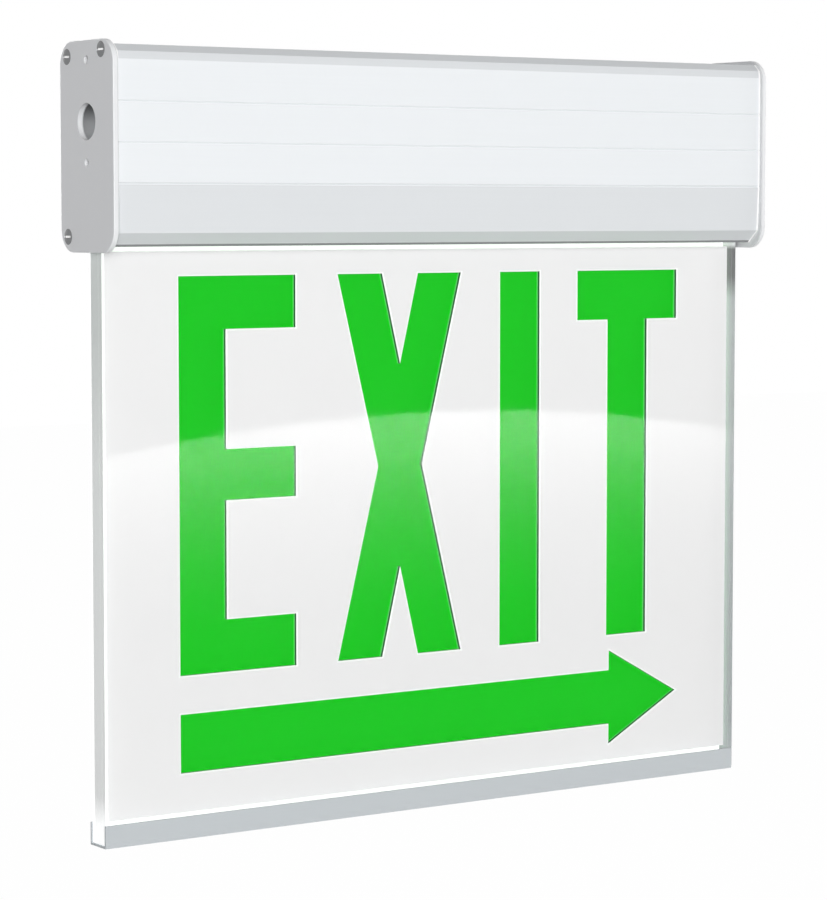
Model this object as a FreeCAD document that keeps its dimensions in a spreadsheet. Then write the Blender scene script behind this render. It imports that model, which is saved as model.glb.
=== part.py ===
import FreeCAD, Part
import math
import os
import types
import Sketcher
from FreeCAD import Placement, Rotation, Vector

# Edge-lit emergency exit sign. An aluminium housing made of two extrusions is closed by two end
# caps, and a laminated acrylic legend panel hangs from a slot in its underside.
# X runs to the viewer's right, Y back to the wall and Z up. The wall is the plane Y = 0, and the
# origin is the middle of the housing's back. "depth" is a distance forward of the wall.

doc = FreeCAD.newDocument("ExitSign")

driving_sizes = [
    # overall
    ("sign_length", 419.1, "outer face of one end cap to outer face of the other"),
    ("cap_thickness", 3.0, "end cap plate"),
    ("cap_front_rim", 2.0, "end cap in front of the housing"),
    ("cap_top_rim", 2.55, "end cap above the housing"),
    ("cap_low_rim", 3.05, "end cap below the housing"),
    ("cap_corner", 12.0, "outline radius of the end cap"),
    ("cap_edge", 0.6, "rounding round the rim of the end cap"),
    # housing section
    ("housing_top", 50.1, "top face above the origin"),
    ("housing_drop", 49.6, "underside below the origin"),
    ("housing_depth", 53.0, "wall to front face"),
    ("housing_wall", 1.8, "wall of the rear extrusion"),
    ("back_corner", 12.0, "outer radius of the two back corners"),
    ("cover_wall", 1.6, "wall of the front cover"),
    ("seam_setback", 15.0, "top seam between the extrusions, behind the front face"),
    ("seam_gap", 0.2, "gap at the top seam"),
    ("tongue_length", 5.0, "cover tongue under the top seam"),
    ("tongue_root", 3.0, "where the tongue leaves the cover's wall"),
    ("tongue_thickness", 1.5, "cover tongue"),
    ("brow_height", 3.7, "nearly upright facet above the front face"),
    ("brow_setback", 0.5, "how far that facet leans back"),
    ("bevel_height", 3.5, "top bevel, upright"),
    ("bevel_depth", 3.7, "top bevel, back"),
    ("chin_height", 5.4, "bottom bevel, upright"),
    ("chin_depth", 6.0, "bottom bevel, back"),
    ("lip_size", 1.4, "small bevel under the chin"),
    ("lower_lean", 1.0, "how far the lowest strip of the front leans back"),
    ("groove_top", 22.3, "highest groove above the origin"),
    ("groove_pitch", 20.2, "groove spacing"),
    ("groove_width", 0.9, "groove"),
    ("groove_depth", 0.4, "groove"),
    ("hook_depth", 3.0, "how deep the cover's hook sits in the rear extrusion's gutter"),
    ("hook_thickness", 1.5, "hook and gutter walls"),
    ("hook_gap", 0.3, "hook to gutter"),
    # screw ports and end cap holes
    ("port_depth_back", 7.4, "back ports, from the wall"),
    ("port_inset_top", 5.1, "top back port below the top face"),
    ("port_inset_low", 4.8, "bottom back port above the underside"),
    ("port_inset_front", 10.4, "front port behind the front face"),
    ("port_inset_crown", 2.6, "front port below the top face"),
    ("port_ring", 3.2, "outer radius of a back port"),
    ("port_ring_front", 2.4, "outer radius of the front port"),
    ("port_bore", 1.5, "radius of a port's bore"),
    ("wire_hole", 9.2, "radius of the end cap's wire entry"),
    ("wire_hole_height", 12.3, "its centre above the origin"),
    ("end_hole", 2.15, "radius of the end cap's two small holes"),
    ("end_hole_top", 42.8, "upper small hole above the origin"),
    ("end_hole_pitch", 50.8, "distance between the small holes"),
    ("rib_length", 6.0, "end cap ribs, into the housing"),
    ("rib_thickness", 1.6, "end cap ribs"),
    ("rib_span", 68.0, "end cap ribs, upright"),
    ("rib_gap", 0.2, "rib to housing wall"),
    # end cap screws
    ("screw_shank", 1.45, "radius"),
    ("screw_passage", 1.75, "radius of its hole in the end cap"),
    ("screw_head", 4.0, "radius"),
    ("screw_cone", 1.9, "depth of the countersunk cone"),
    ("screw_dome", 0.8, "rise of the oval head"),
    ("screw_length", 14.0, "under the face of the end cap"),
    ("screw_point", 1.0, "length of the taper at the tip"),
    ("screw_play", 0.05, "screw in its thread, radial, and head in its countersink"),
    ("slot_width", 1.1, "driver slot"),
    ("slot_depth", 1.1, "driver slot, below the crown"),
    # panel of laminated sheets
    ("panel_end_gap", 1.2, "panel to end cap, each side"),
    ("panel_height", 324.3, "top edge to bottom edge"),
    ("panel_top", 27.0, "top edge below the origin"),
    ("front_sheet", 3.6, "clear front sheet"),
    ("guide_sheet", 7.7, "clear light guide sheet"),
    ("backing_sheet", 2.0, "white backing sheet"),
    ("legend_plate", 3.0, "legend plate let into the guide"),
    ("legend_margin", 3.3, "clear margin at each side of the legend plate"),
    ("legend_top", 52.05, "top edge of the legend plate below the origin"),
    ("legend_foot", 11.55, "its bottom edge above the panel's"),
    ("legend_fit", 0.1, "gap round the legend plate in its pocket"),
    ("slot_gap", 0.3, "panel to slot wall, each side"),
    ("leg_thickness", 1.6, "slot walls"),
    ("web_thickness", 1.8, "slot roof"),
    ("gutter_gap", 0.4, "gutter to the cover's floor"),
    # bottom channel
    ("channel_wall", 1.0, "aluminium channel under the panel"),
    ("channel_gap", 0.2, "channel to panel"),
    ("channel_height", 11.6, "outside"),
    ("channel_short", 0.5, "how much shorter than the panel it is"),
    ("channel_shift", 1.0, "how far it sits to the left of centre"),
    # panel clamp screws
    ("clamp_pitch", 150.0, "screw spacing"),
    ("clamp_below", 9.0, "screws below the panel's top edge"),
    ("clamp_shank", 1.5, "radius"),
    ("clamp_hole", 1.7, "radius"),
    ("clamp_head", 2.8, "radius"),
    ("clamp_head_height", 2.0, "pan head"),
    ("clamp_tail", 3.4, "thread showing behind the rear slot wall"),
    ("nut_width", 5.5, "across flats"),
    ("nut_thickness", 2.4, "nut"),
    # light source
    ("light_gap", 0.5, "emitters to panel edge"),
    ("emitter_height", 0.7, "emitter"),
    ("emitter_length", 3.5, "emitter"),
    ("emitter_width", 2.8, "emitter"),
    ("emitter_pitch", 11.0, "emitter"),
    ("strip_thickness", 1.2, "light strip board"),
    ("strip_width", 10.0, "light strip board"),
    ("strip_end_gap", 7.55, "light strip board to end cap"),
    ("strip_margin", 5.0, "least distance from its ends to an emitter's middle"),
    # wall fixing
    ("wall_wire_hole", 11.1, "radius of the wire entry in the back"),
    ("wall_screw_hole", 2.5, "radius"),
    ("wall_screw_pitch", 88.9, "fixing screws, centre to centre"),
    ("earth_head", 3.6, "radius of the earth screw's head"),
    ("earth_across", 32.0, "earth screw from the origin"),
    ("earth_below", 15.0, "earth screw below the origin"),
    # driver tray and board
    ("fixing_bore", 1.3, "radius of the small screw holes in the back"),
    ("fixing_recess", 0.1, "screw tips short of the wall side"),
    ("tray_end_gap", 16.55, "tray to the right-hand end cap"),
    ("tray_length", 118.0, "along the housing"),
    ("tray_height", 56.0, "upright"),
    ("tray_base", 19.0, "lower edge below the origin"),
    ("tray_flange", 8.0, "depth of its two flanges"),
    ("tray_gauge", 1.0, "sheet steel"),
    ("bend_radius", 0.6, "inside radius of the bends"),
    ("tray_screw_inset", 6.0, "from the tray's ends"),
    ("spacer_height", 6.0, "board above the tray"),
    ("spacer_width", 5.5, "across flats"),
    ("spacer_bore", 1.25, "radius"),
    ("spacer_reserve", 1.0, "bore left free under the screw"),
    ("board_screw_head", 2.4, "radius"),
    ("board_screw_rise", 1.6, "pan head"),
    ("board_length", 102.0, "driver board"),
    ("board_height", 48.0, "driver board"),
    ("board_thickness", 1.6, "driver board"),
    ("board_inset", 4.0, "spacers from the board's edges"),
    ("board_hole", 1.5, "radius"),
    # parts on the board
    ("core_width", 32.0, "transformer core"),
    ("core_height", 27.0, "transformer core"),
    ("core_stack", 14.0, "transformer core"),
    ("core_leg", 5.0, "outer leg and yoke"),
    ("core_centre_leg", 10.0, "middle leg"),
    ("core_inset", 36.0, "middle of the core from the board's left edge"),
    ("winding_build", 5.6, "winding round the middle leg"),
    ("winding_gap", 0.1, "winding to core"),
    ("can_radius", 5.0, "capacitor"),
    ("can_height", 18.0, "capacitor"),
    ("can_gap", 2.0, "between capacitors"),
    ("can_crimp", 0.6, "depth of the crimp and width of its two slopes"),
    ("can_crimp_foot", 2.0, "crimp above the board"),
    ("can_edge", 0.8, "rounding of the can's end"),
    ("can_inset", 59.5, "first capacitors from the board's left edge"),
    ("block_width", 10.0, "terminal block"),
    ("block_height", 30.0, "terminal block"),
    ("block_depth", 11.6, "terminal block"),
    ("block_pitch", 9.0, "terminals"),
    ("block_screw", 2.0, "radius of a terminal screw's well"),
    ("block_screw_depth", 2.5, "its depth"),
    ("block_entry", 1.8, "radius of a terminal's wire entry"),
    ("block_entry_depth", 7.0, "its depth"),
    ("block_inset", 13.0, "middle of the block from the board's left edge"),
    ("plug_width", 8.0, "lead connectors"),
    ("plug_depth", 6.6, "lead connectors"),
    ("plug_height", 7.0, "lead connectors"),
    ("plug_inset", 60.0, "first lead connector from the board's left edge"),
    ("plug_pitch", 12.0, "between lead connectors"),
    ("plug_margin", 2.0, "lower connectors to the board's edge"),
    # battery
    ("cell_radius", 7.25, "cell in its sleeve"),
    ("pack_length", 100.0, "two rows of cells in one sleeve"),
    ("pack_end_gap", 28.55, "pack to the left-hand end cap"),
    ("pack_gap", 0.2, "pack to walls"),
    ("strap_width", 16.0, "battery strap"),
    ("strap_gauge", 1.0, "battery strap"),
    ("strap_tab", 12.0, "its fixing tabs"),
    # test button, its switch and the charge lamp, in the right-hand end cap
    ("button_play", 0.07, "button in its hole, radial"),
    ("button_proud", 1.8, "button above the end cap"),
    ("button_edge", 0.5, "rounding of the button's end"),
    ("button_travel", 1.8, "full press"),
    ("button_flange", 3.0, "radius"),
    ("flange_thickness", 1.3, "button and lamp flanges"),
    ("flange_gap", 0.2, "flange to end cap"),
    ("stem_radius", 1.2, "button stem"),
    ("stem_length", 5.0, "button stem"),
    ("stem_play", 0.08, "stem in the switch, radial"),
    ("stem_reserve", 1.0, "switch bore left free at full press, less the switch's clearance"),
    ("switch_clear", 0.5, "flange to switch at full press"),
    ("switch_length", 10.6, "switch body along the housing"),
    ("switch_width", 6.4, "switch body, front to back"),
    ("switch_height", 7.0, "switch body, upright"),
    ("switch_grip", 0.1, "switch body to its holder"),
    ("holder_wall", 1.4, "switch holder on the end cap"),
    ("holder_reach", 12.0, "switch holder on the end cap"),
    ("lamp_rise", 1.2, "lens above the end cap"),
    ("lamp_body", 7.0, "lamp behind the end cap's plate"),
    ("blank_lip", 2.0, "blanking plug, overlap round the wire entry"),
    ("blank_face", 1.2, "blanking plug"),
    ("blank_wall", 1.2, "blanking plug"),
    ("blank_fit", 0.1, "blanking plug in the wire entry, radial"),
    ("blank_depth", 5.0, "blanking plug behind the face"),
    ("barb_rise", 0.5, "blanking plug"),
    ("barb_length", 0.8, "blanking plug, steep part of the barb"),
    ("barb_lead_in", 0.4, "blanking plug, taper at its mouth"),
    # leads
    ("lead_radius", 1.2, "internal leads"),
    ("lead_tail", 14.0, "straight run at a lead's end"),
    ("lead_shift", 18.0, "run along the housing in which a lead changes depth"),
    ("lead_hole", 2.2, "radius of the hole in the slot roof"),
    ("lead_gap", 0.3, "lead to slot roof"),
]

sheet = doc.addObject("Spreadsheet::Sheet", "Dims")
for row, (alias, number, meaning) in enumerate(driving_sizes, start=1):
    sheet.set(f"A{row}", alias)
    sheet.set(f"B{row}", str(number))
    sheet.set(f"C{row}", meaning)
    sheet.setAlias(f"B{row}", alias)
doc.recompute()


class Size:
    """A length with the spreadsheet expression that gives it."""

    def __init__(self, value, text):
        self.value = value
        self.text = text

    def __add__(self, other):
        return Size(self.value + as_size(other).value, f"({self.text} + {as_size(other).text})")

    def __sub__(self, other):
        return Size(self.value - as_size(other).value, f"({self.text} - {as_size(other).text})")

    def __mul__(self, other):
        return Size(self.value * as_size(other).value, f"({self.text} * {as_size(other).text})")

    def __truediv__(self, other):
        return Size(self.value / as_size(other).value, f"({self.text} / {as_size(other).text})")

    def __neg__(self):
        return Size(-self.value, f"(0 - {self.text})")

    def __radd__(self, other):
        return as_size(other) + self

    def __rsub__(self, other):
        return as_size(other) - self

    def __rmul__(self, other):
        return as_size(other) * self


def as_size(number):
    return number if isinstance(number, Size) else Size(float(number), repr(float(number)))


size = types.SimpleNamespace(
    **{alias: Size(number, f"Dims.{alias}") for alias, number, _ in driving_sizes})


class Arc:
    """A corner of an outline that is reached by an arc from the corner before it."""

    def __init__(self, across, up, radius, clockwise):
        self.across = across
        self.up = up
        self.radius = radius
        self.clockwise = clockwise


def bind(thing, name, amount):
    """Sets a property from the spreadsheet."""
    thing.setExpression(name, as_size(amount).text)


def lock_point(sketch, curve, end, across, up):
    """Holds one end of a curve, or a circle's centre, at a place worked out from the spreadsheet."""
    for kind, amount, axis in (("DistanceX", across, -2), ("DistanceY", up, -1)):
        amount = as_size(amount)
        if abs(amount.value) < 1e-9:
            sketch.addConstraint(Sketcher.Constraint("PointOnObject", curve, end, axis))
            continue
        number = sketch.addConstraint(Sketcher.Constraint(kind, -1, 1, curve, end, amount.value))
        bind(sketch, f"Constraints[{number}]", amount)


def lock_radius(sketch, curve, radius):
    number = sketch.addConstraint(Sketcher.Constraint("Radius", curve, as_size(radius).value))
    bind(sketch, f"Constraints[{number}]", radius)


def arc_between(start, end, radius, clockwise):
    """The short arc of a given radius from start to end, and which of its ends is the last."""
    chord = end - start
    middle = (start + end) * 0.5
    side = Vector(chord.y, -chord.x, 0) if clockwise else Vector(-chord.y, chord.x, 0)
    side.normalize()
    centre = middle + side * math.sqrt(max(radius ** 2 - (chord.Length / 2) ** 2, 0.0))
    first, last = (end, start) if clockwise else (start, end)
    from_angle = math.atan2(first.y - centre.y, first.x - centre.x)
    to_angle = math.atan2(last.y - centre.y, last.x - centre.x)
    circle = Part.Circle(centre, Vector(0, 0, 1), radius)
    return Part.ArcOfCircle(circle, from_angle, to_angle), (1 if clockwise else 2)


def draw_outline(sketch, corners):
    """Draws a closed outline through its corners, each an (across, up) pair or an Arc."""
    places = []
    for corner in corners:
        across, up = (corner.across, corner.up) if isinstance(corner, Arc) else corner
        places.append((as_size(across), as_size(up)))
    points = [Vector(across.value, up.value, 0) for across, up in places]
    ends = []
    for index, corner in enumerate(corners):
        start, end = points[index - 1], points[index]
        if isinstance(corner, Arc):
            curve, last = arc_between(start, end, as_size(corner.radius).value, corner.clockwise)
        else:
            curve, last = Part.LineSegment(start, end), 2
        ends.append((sketch.addGeometry(curve, False), last))
    for index, corner in enumerate(corners):
        curve, last = ends[index]
        next_curve, next_last = ends[(index + 1) % len(ends)]
        sketch.addConstraint(
            Sketcher.Constraint("Coincident", curve, last, next_curve, 3 - next_last))
        lock_point(sketch, curve, last, *places[index])
        if isinstance(corner, Arc):
            lock_radius(sketch, curve, corner.radius)


def draw_rectangle(sketch, left, bottom, right, top):
    draw_outline(sketch, [(left, bottom), (right, bottom), (right, top), (left, top)])


def draw_circle(sketch, across, up, radius):
    across, up, radius = as_size(across), as_size(up), as_size(radius)
    circle = Part.Circle(Vector(across.value, up.value, 0), Vector(0, 0, 1), radius.value)
    curve = sketch.addGeometry(circle, False)
    lock_point(sketch, curve, 3, across, up)
    lock_radius(sketch, curve, radius)


def draw_hexagon(sketch, across, up, width):
    """A hexagon with two level sides; width is across its flats."""
    half, point = as_size(width) / 2, as_size(width) / math.sqrt(3)
    draw_outline(sketch, [(across + point, up), (across + point / 2, up + half),
                          (across - point / 2, up + half), (across - point, up),
                          (across - point / 2, up - half), (across + point / 2, up - half)])


def new_body(label):
    body = doc.addObject("PartDesign::Body", label)
    body.Label = label
    body.Placement = Placement()
    return body


def new_sketch(body, plane, offset=0):
    """A sketch on one of the body's own origin planes, moved along the plane's normal.
    YZ faces +X, XZ faces the viewer (-Y) and XY faces up."""
    sketch = body.newObject("Sketcher::SketchObject", f"{body.Name}_sketch")
    support = [each for each in body.Origin.OriginFeatures if each.Role == f"{plane}_Plane"][0]
    sketch.AttachmentSupport = [(support, "")]
    sketch.MapMode = "FlatFace"
    bind(sketch, "AttachmentOffset.Base.z", offset)
    return sketch


def add_pad(body, sketch, length, both_ways=False, backwards=False):
    pad = body.newObject("PartDesign::Pad", f"{body.Name}_pad")
    pad.Profile = sketch
    pad.SideType = "Symmetric" if both_ways else "One side"
    pad.Reversed = backwards
    bind(pad, "Length", length)
    sketch.Visibility = False
    return pad


def add_pocket(body, sketch, length, both_ways=False, backwards=False):
    pocket = body.newObject("PartDesign::Pocket", f"{body.Name}_pocket")
    pocket.Profile = sketch
    pocket.SideType = "Symmetric" if both_ways else "One side"
    pocket.Reversed = backwards
    bind(pocket, "Length", length)
    sketch.Visibility = False
    return pocket


def add_turning(body, sketch, kind="PartDesign::Revolution"):
    """Turns a sketch once round the upright axis of its own plane."""
    turning = body.newObject(kind, f"{body.Name}_turning")
    turning.Profile = sketch
    turning.ReferenceAxis = (sketch, ["V_Axis"])
    turning.Angle = 360
    sketch.Visibility = False
    return turning


def set_place(thing, across=0, depth=0, up=0, rotation=None, link=False):
    """Puts a piece at X = across, Y = -depth, Z = up."""
    name = "LinkPlacement" if link else "Placement"
    setattr(thing, name, Placement(Vector(0, 0, 0), rotation or Rotation()))
    bind(thing, f"{name}.Base.x", across)
    bind(thing, f"{name}.Base.y", 0 - as_size(depth))
    bind(thing, f"{name}.Base.z", up)


def place_copies(label, form, places, rotation=None):
    """One node that holds a copy of a form at each (across, depth, up) place."""
    copies = []
    for across, depth, up in places:
        copy = doc.addObject("App::Link", f"{label}_copy")
        copy.LinkedObject = form
        set_place(copy, across, depth, up, rotation, link=True)
        copies.append(copy)
    group = doc.addObject("Part::Compound", label)
    group.Links = copies
    group.Label = label
    return group


nodes = []
overrun = 5.0  # how far a cut runs past the material

cap_depth = size.housing_depth + size.cap_front_rim
cap_top = size.housing_top + size.cap_top_rim
cap_low = 0 - size.housing_drop - size.cap_low_rim
mid_depth = cap_depth / 2
port_top = size.housing_top - size.port_inset_top
port_low = size.port_inset_low - size.housing_drop
front_port_depth = size.housing_depth - size.port_inset_front
front_port_level = size.housing_top - size.port_inset_crown
seam_depth = size.housing_depth - size.seam_setback
housing_length = size.sign_length - 2 * size.cap_thickness
cap_inside = housing_length / 2
panel_width = housing_length - 2 * size.panel_end_gap
strip_length = housing_length - 2 * size.strip_end_gap
gutter_low = 0 - size.housing_drop + size.cover_wall + size.gutter_gap
panel_thickness = size.front_sheet + size.guide_sheet + size.backing_sheet
panel_front = mid_depth + panel_thickness / 2
panel_back = panel_front - panel_thickness
guide_back = panel_back + size.backing_sheet
strip_depth = (guide_back + panel_front) / 2
strip_lead_depth = guide_back + size.guide_sheet / 2
slot_front = panel_front + size.slot_gap
slot_back = panel_back - size.slot_gap
gutter_front = slot_front + size.leg_thickness + 2 * (size.hook_gap + size.hook_thickness)
roof_under = 0 - size.panel_top + size.light_gap + size.emitter_height + size.strip_thickness
roof_over = roof_under + size.web_thickness
clamp_level = 0 - size.panel_top - size.clamp_below
clamp_places = [0 - size.clamp_pitch, as_size(0), size.clamp_pitch]
button_level = size.end_hole_top - size.end_hole_pitch
tray_across = cap_inside - size.tray_end_gap - size.tray_length / 2
tray_middle = size.tray_height / 2 - size.tray_base
board_left = tray_across - size.board_length / 2
board_back = size.housing_wall + size.tray_gauge + size.spacer_height
board_front = board_back + size.board_thickness
block_across = board_left + size.block_inset
pack_across = size.pack_end_gap + size.pack_length / 2 - cap_inside
pack_half_height = 2 * size.cell_radius + size.pack_gap
pack_level = roof_over + pack_half_height
pack_depth = size.housing_wall + size.pack_gap + size.cell_radius
facing_front = Rotation(Vector(1, 0, 0), 90)
facing_right = Rotation(Vector(0, 1, 0), 90)
facing_left = Rotation(Vector(0, 1, 0), -90)


def tray_fixings():
    """Places on the back, as (across, up), of the screws that hold the tray."""
    reach = size.tray_length / 2 - size.tray_screw_inset
    return [(tray_across - reach, tray_middle), (tray_across + reach, tray_middle)]


def strap_fixings():
    """Places on the back, as (across, up), of the screws that hold the battery strap."""
    reach = pack_half_height + size.strap_gauge + size.strap_tab / 2
    return [(pack_across, pack_level + reach), (pack_across, pack_level - reach)]


# Rear extrusion: back, top, the rear half of the underside, and the slot that the panel hangs in.
# A gutter along the front of the slot takes the hook of the front cover.
def make_rear_housing():
    body = new_body("rear_housing")
    sketch = new_sketch(body, "YZ")
    wall, corner = size.housing_wall, size.back_corner
    top, low = size.housing_top, 0 - size.housing_drop
    leg_front, leg_back = slot_front + size.leg_thickness, slot_back - size.leg_thickness
    hook = size.hook_thickness
    draw_outline(sketch, [
        (0 - slot_back, low),
        (0 - corner, low),
        Arc(0, low + corner, corner, False),
        (0, top - corner),
        Arc(0 - corner, top, corner, False),
        (0 - seam_depth, top),
        (0 - seam_depth, top - wall),
        (0 - corner, top - wall),
        Arc(0 - wall, top - corner, corner - wall, True),
        (0 - wall, low + corner),
        Arc(0 - corner, low + wall, corner - wall, True),
        (0 - leg_back, low + wall),
        (0 - leg_back, roof_over),
        (0 - leg_front, roof_over),
        (0 - leg_front, gutter_low + hook),
        (0 - gutter_front + hook, gutter_low + hook),
        (0 - gutter_front + hook, gutter_low + hook + size.hook_depth),
        (0 - gutter_front, gutter_low + hook + size.hook_depth),
        (0 - gutter_front, gutter_low),
        (0 - slot_front, gutter_low),
        (0 - slot_front, roof_under),
        (0 - slot_back, roof_under),
    ])
    add_pad(body, sketch, housing_length, both_ways=True)
    ports = [(0 - size.port_depth_back, port_top), (0 - size.port_depth_back, port_low)]
    rings = new_sketch(body, "YZ")
    bores = new_sketch(body, "YZ")
    for across, up in ports:
        draw_circle(rings, across, up, size.port_ring)
        draw_circle(bores, across, up, size.port_bore)
    add_pad(body, rings, housing_length, both_ways=True)
    add_pocket(body, bores, housing_length + 2 * overrun, both_ways=True)

    holes = new_sketch(body, "XZ")
    draw_circle(holes, 0, 0, size.wall_wire_hole)
    for across in (0 - size.wall_screw_pitch / 2, size.wall_screw_pitch / 2):
        draw_circle(holes, across, 0, size.wall_screw_hole)
    draw_circle(holes, size.earth_across, 0 - size.earth_below, size.clamp_hole)
    for across, up in tray_fixings() + strap_fixings():
        draw_circle(holes, across, up, size.fixing_bore)
    add_pocket(body, holes, 2 * (wall + overrun), both_ways=True)

    passages = new_sketch(body, "XZ", mid_depth)
    for across in clamp_places:
        draw_circle(passages, across, clamp_level, size.clamp_hole)
    add_pocket(body, passages, 2 * (leg_front - mid_depth) + overrun, both_ways=True)

    lead_way = new_sketch(body, "XY", roof_over)
    draw_circle(lead_way, plug_places()[1][0], 0 - strip_lead_depth, size.lead_hole)
    add_pocket(body, lead_way, 2 * size.web_thickness + overrun, both_ways=True)
    nodes.append(body)


# Front cover: a second extrusion. It hooks into the gutter and laps under the top seam.
def make_front_cover():
    body = new_body("front_cover")
    sketch = new_sketch(body, "YZ")
    front, wall, top = size.housing_depth, size.cover_wall, size.housing_top
    low = 0 - size.housing_drop
    brow_foot = top - size.bevel_height - size.brow_height
    chin_top = low + size.lip_size + size.chin_height
    last_groove = size.groove_top - 2 * size.groove_pitch
    lean_front = front - size.lower_lean
    hook, hook_back = size.hook_thickness, slot_front + size.leg_thickness + size.hook_gap
    post_back = gutter_front + size.hook_gap
    bridge_low = gutter_low + hook + size.hook_depth + size.hook_gap
    floor = low + wall
    outline = [
        (0 - seam_depth - size.seam_gap, top),
        (0 - front + size.brow_setback + size.bevel_depth, top),
        (0 - front + size.brow_setback, top - size.bevel_height),
        (0 - front, brow_foot),
    ]
    for index in range(3):
        level = size.groove_top - index * size.groove_pitch
        outline += [(0 - front, level + size.groove_width / 2),
                    (0 - front + size.groove_depth, level),
                    (0 - front, level - size.groove_width / 2)]
    outline += [
        (0 - lean_front, chin_top),
        (0 - lean_front + size.chin_depth, chin_top - size.chin_height),
        (0 - lean_front + size.chin_depth + size.lip_size, low),
        (0 - slot_front, low),
        (0 - slot_front, floor),
        (0 - post_back, floor),
        (0 - post_back, bridge_low),
        (0 - hook_back - hook, bridge_low),
        (0 - hook_back - hook, gutter_low + hook + size.hook_gap),
        (0 - hook_back, gutter_low + hook + size.hook_gap),
        (0 - hook_back, bridge_low + hook),
        (0 - post_back - hook, bridge_low + hook),
        (0 - post_back - hook, floor),
        (0 - lean_front + size.chin_depth + size.lip_size + wall / 2, floor),
        (0 - lean_front + wall, chin_top + wall / 2),
        (0 - front + wall, last_groove),
        (0 - front + wall, brow_foot - wall / 2),
        (0 - front + size.brow_setback + size.bevel_depth + wall / 2, top - size.housing_wall),
        (0 - seam_depth - size.tongue_root, top - size.housing_wall),
        (0 - seam_depth - size.tongue_root, top - size.housing_wall - size.tongue_thickness),
        (0 - seam_depth + size.tongue_length, top - size.housing_wall - size.tongue_thickness),
        (0 - seam_depth + size.tongue_length, top - size.housing_wall),
        (0 - seam_depth - size.seam_gap, top - size.housing_wall),
    ]
    draw_outline(sketch, outline)
    add_pad(body, sketch, housing_length, both_ways=True)
    ring = new_sketch(body, "YZ")
    draw_circle(ring, 0 - front_port_depth, front_port_level, size.port_ring_front)
    add_pad(body, ring, housing_length, both_ways=True)
    bore = new_sketch(body, "YZ")
    draw_circle(bore, 0 - front_port_depth, front_port_level, size.port_bore)
    add_pocket(body, bore, housing_length + 2 * overrun, both_ways=True)
    nodes.append(body)


def cap_screw_places():
    """Depth and height of the three screws in each end cap."""
    return [(size.port_depth_back, port_top), (front_port_depth, front_port_level),
            (size.port_depth_back, port_low)]


# End caps: a handed pair of mouldings, each with ribs that keep the two extrusions in line and a
# holder for a test switch behind the lower small hole. side is -1 at the left and 1 at the right.
def make_end_cap(label, side):
    body = new_body(label)
    corner = size.cap_corner
    plate = new_sketch(body, "YZ", side * cap_inside)
    draw_outline(plate, [
        (0 - corner, cap_low),
        Arc(0, cap_low + corner, corner, False),
        (0, cap_top - corner),
        Arc(0 - corner, cap_top, corner, False),
        (0 - cap_depth + corner, cap_top),
        Arc(0 - cap_depth, cap_top - corner, corner, False),
        (0 - cap_depth, cap_low + corner),
        Arc(0 - cap_depth + corner, cap_low, corner, False),
    ])
    pad = add_pad(body, plate, size.cap_thickness, backwards=side < 0)
    doc.recompute()
    flat_faces = [f"Face{number}" for number, face in enumerate(pad.Shape.Faces, start=1)
                  if face.BoundBox.XLength < 1e-6]
    rim = body.newObject("PartDesign::Fillet", f"{label}_rim")
    rim.Base = (pad, flat_faces)
    bind(rim, "Radius", size.cap_edge)
    doc.recompute()

    ribs = new_sketch(body, "YZ", side * cap_inside)
    half_span = size.rib_span / 2
    rib_back = size.housing_wall + size.rib_gap
    rib_front = size.housing_depth - size.lower_lean - size.cover_wall - size.rib_gap
    for near in (rib_back, rib_front - size.rib_thickness):
        draw_rectangle(ribs, 0 - near - size.rib_thickness, 0 - half_span, 0 - near, half_span)
    add_pad(body, ribs, size.rib_length, backwards=side > 0)

    holder = new_sketch(body, "YZ", side * cap_inside)
    half_switch = size.switch_height / 2 + size.switch_grip
    for low in (button_level + half_switch, button_level - half_switch - size.holder_wall):
        draw_rectangle(holder, 0 - mid_depth - size.switch_width / 2, low,
                       0 - mid_depth + size.switch_width / 2, low + size.holder_wall)
    add_pad(body, holder, size.holder_reach, backwards=side > 0)

    holes = new_sketch(body, "YZ", side * cap_inside)
    draw_circle(holes, 0 - mid_depth, size.wire_hole_height, size.wire_hole)
    for level in (size.end_hole_top, button_level):
        draw_circle(holes, 0 - mid_depth, level, size.end_hole)
    for depth, level in cap_screw_places():
        draw_circle(holes, 0 - depth, level, size.screw_passage)
    add_pocket(body, holes, 2 * (size.cap_thickness + overrun), both_ways=True)

    face = side * size.sign_length / 2
    foot = face - side * (size.screw_cone + size.screw_play)
    for depth, level in cap_screw_places():
        seat = new_sketch(body, "XY", level)
        axis = seat.addGeometry(Part.LineSegment(Vector(face.value, -depth.value, 0),
                                                 Vector(foot.value, -depth.value, 0)), True)
        lock_point(seat, axis, 1, face, 0 - depth)
        lock_point(seat, axis, 2, foot, 0 - depth)
        draw_outline(seat, [(face, 0 - depth), (face, size.screw_head + size.screw_play - depth),
                            (foot, size.screw_passage - depth), (foot, 0 - depth)])
        sink = body.newObject("PartDesign::Groove", f"{label}_countersink")
        sink.Profile = seat
        sink.ReferenceAxis = (seat, ["Axis0"])
        sink.Angle = 360
        seat.Visibility = False
    nodes.append(body)


# A screw stands on its tip: its axis is Z, its head is up and its seat is at Z = 0.
def add_slot(body, crown, radius):
    slot = new_sketch(body, "XY", crown)
    reach = radius + overrun
    draw_rectangle(slot, 0 - reach, 0 - size.slot_width / 2, reach, size.slot_width / 2)
    add_pocket(body, slot, size.slot_depth)


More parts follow.
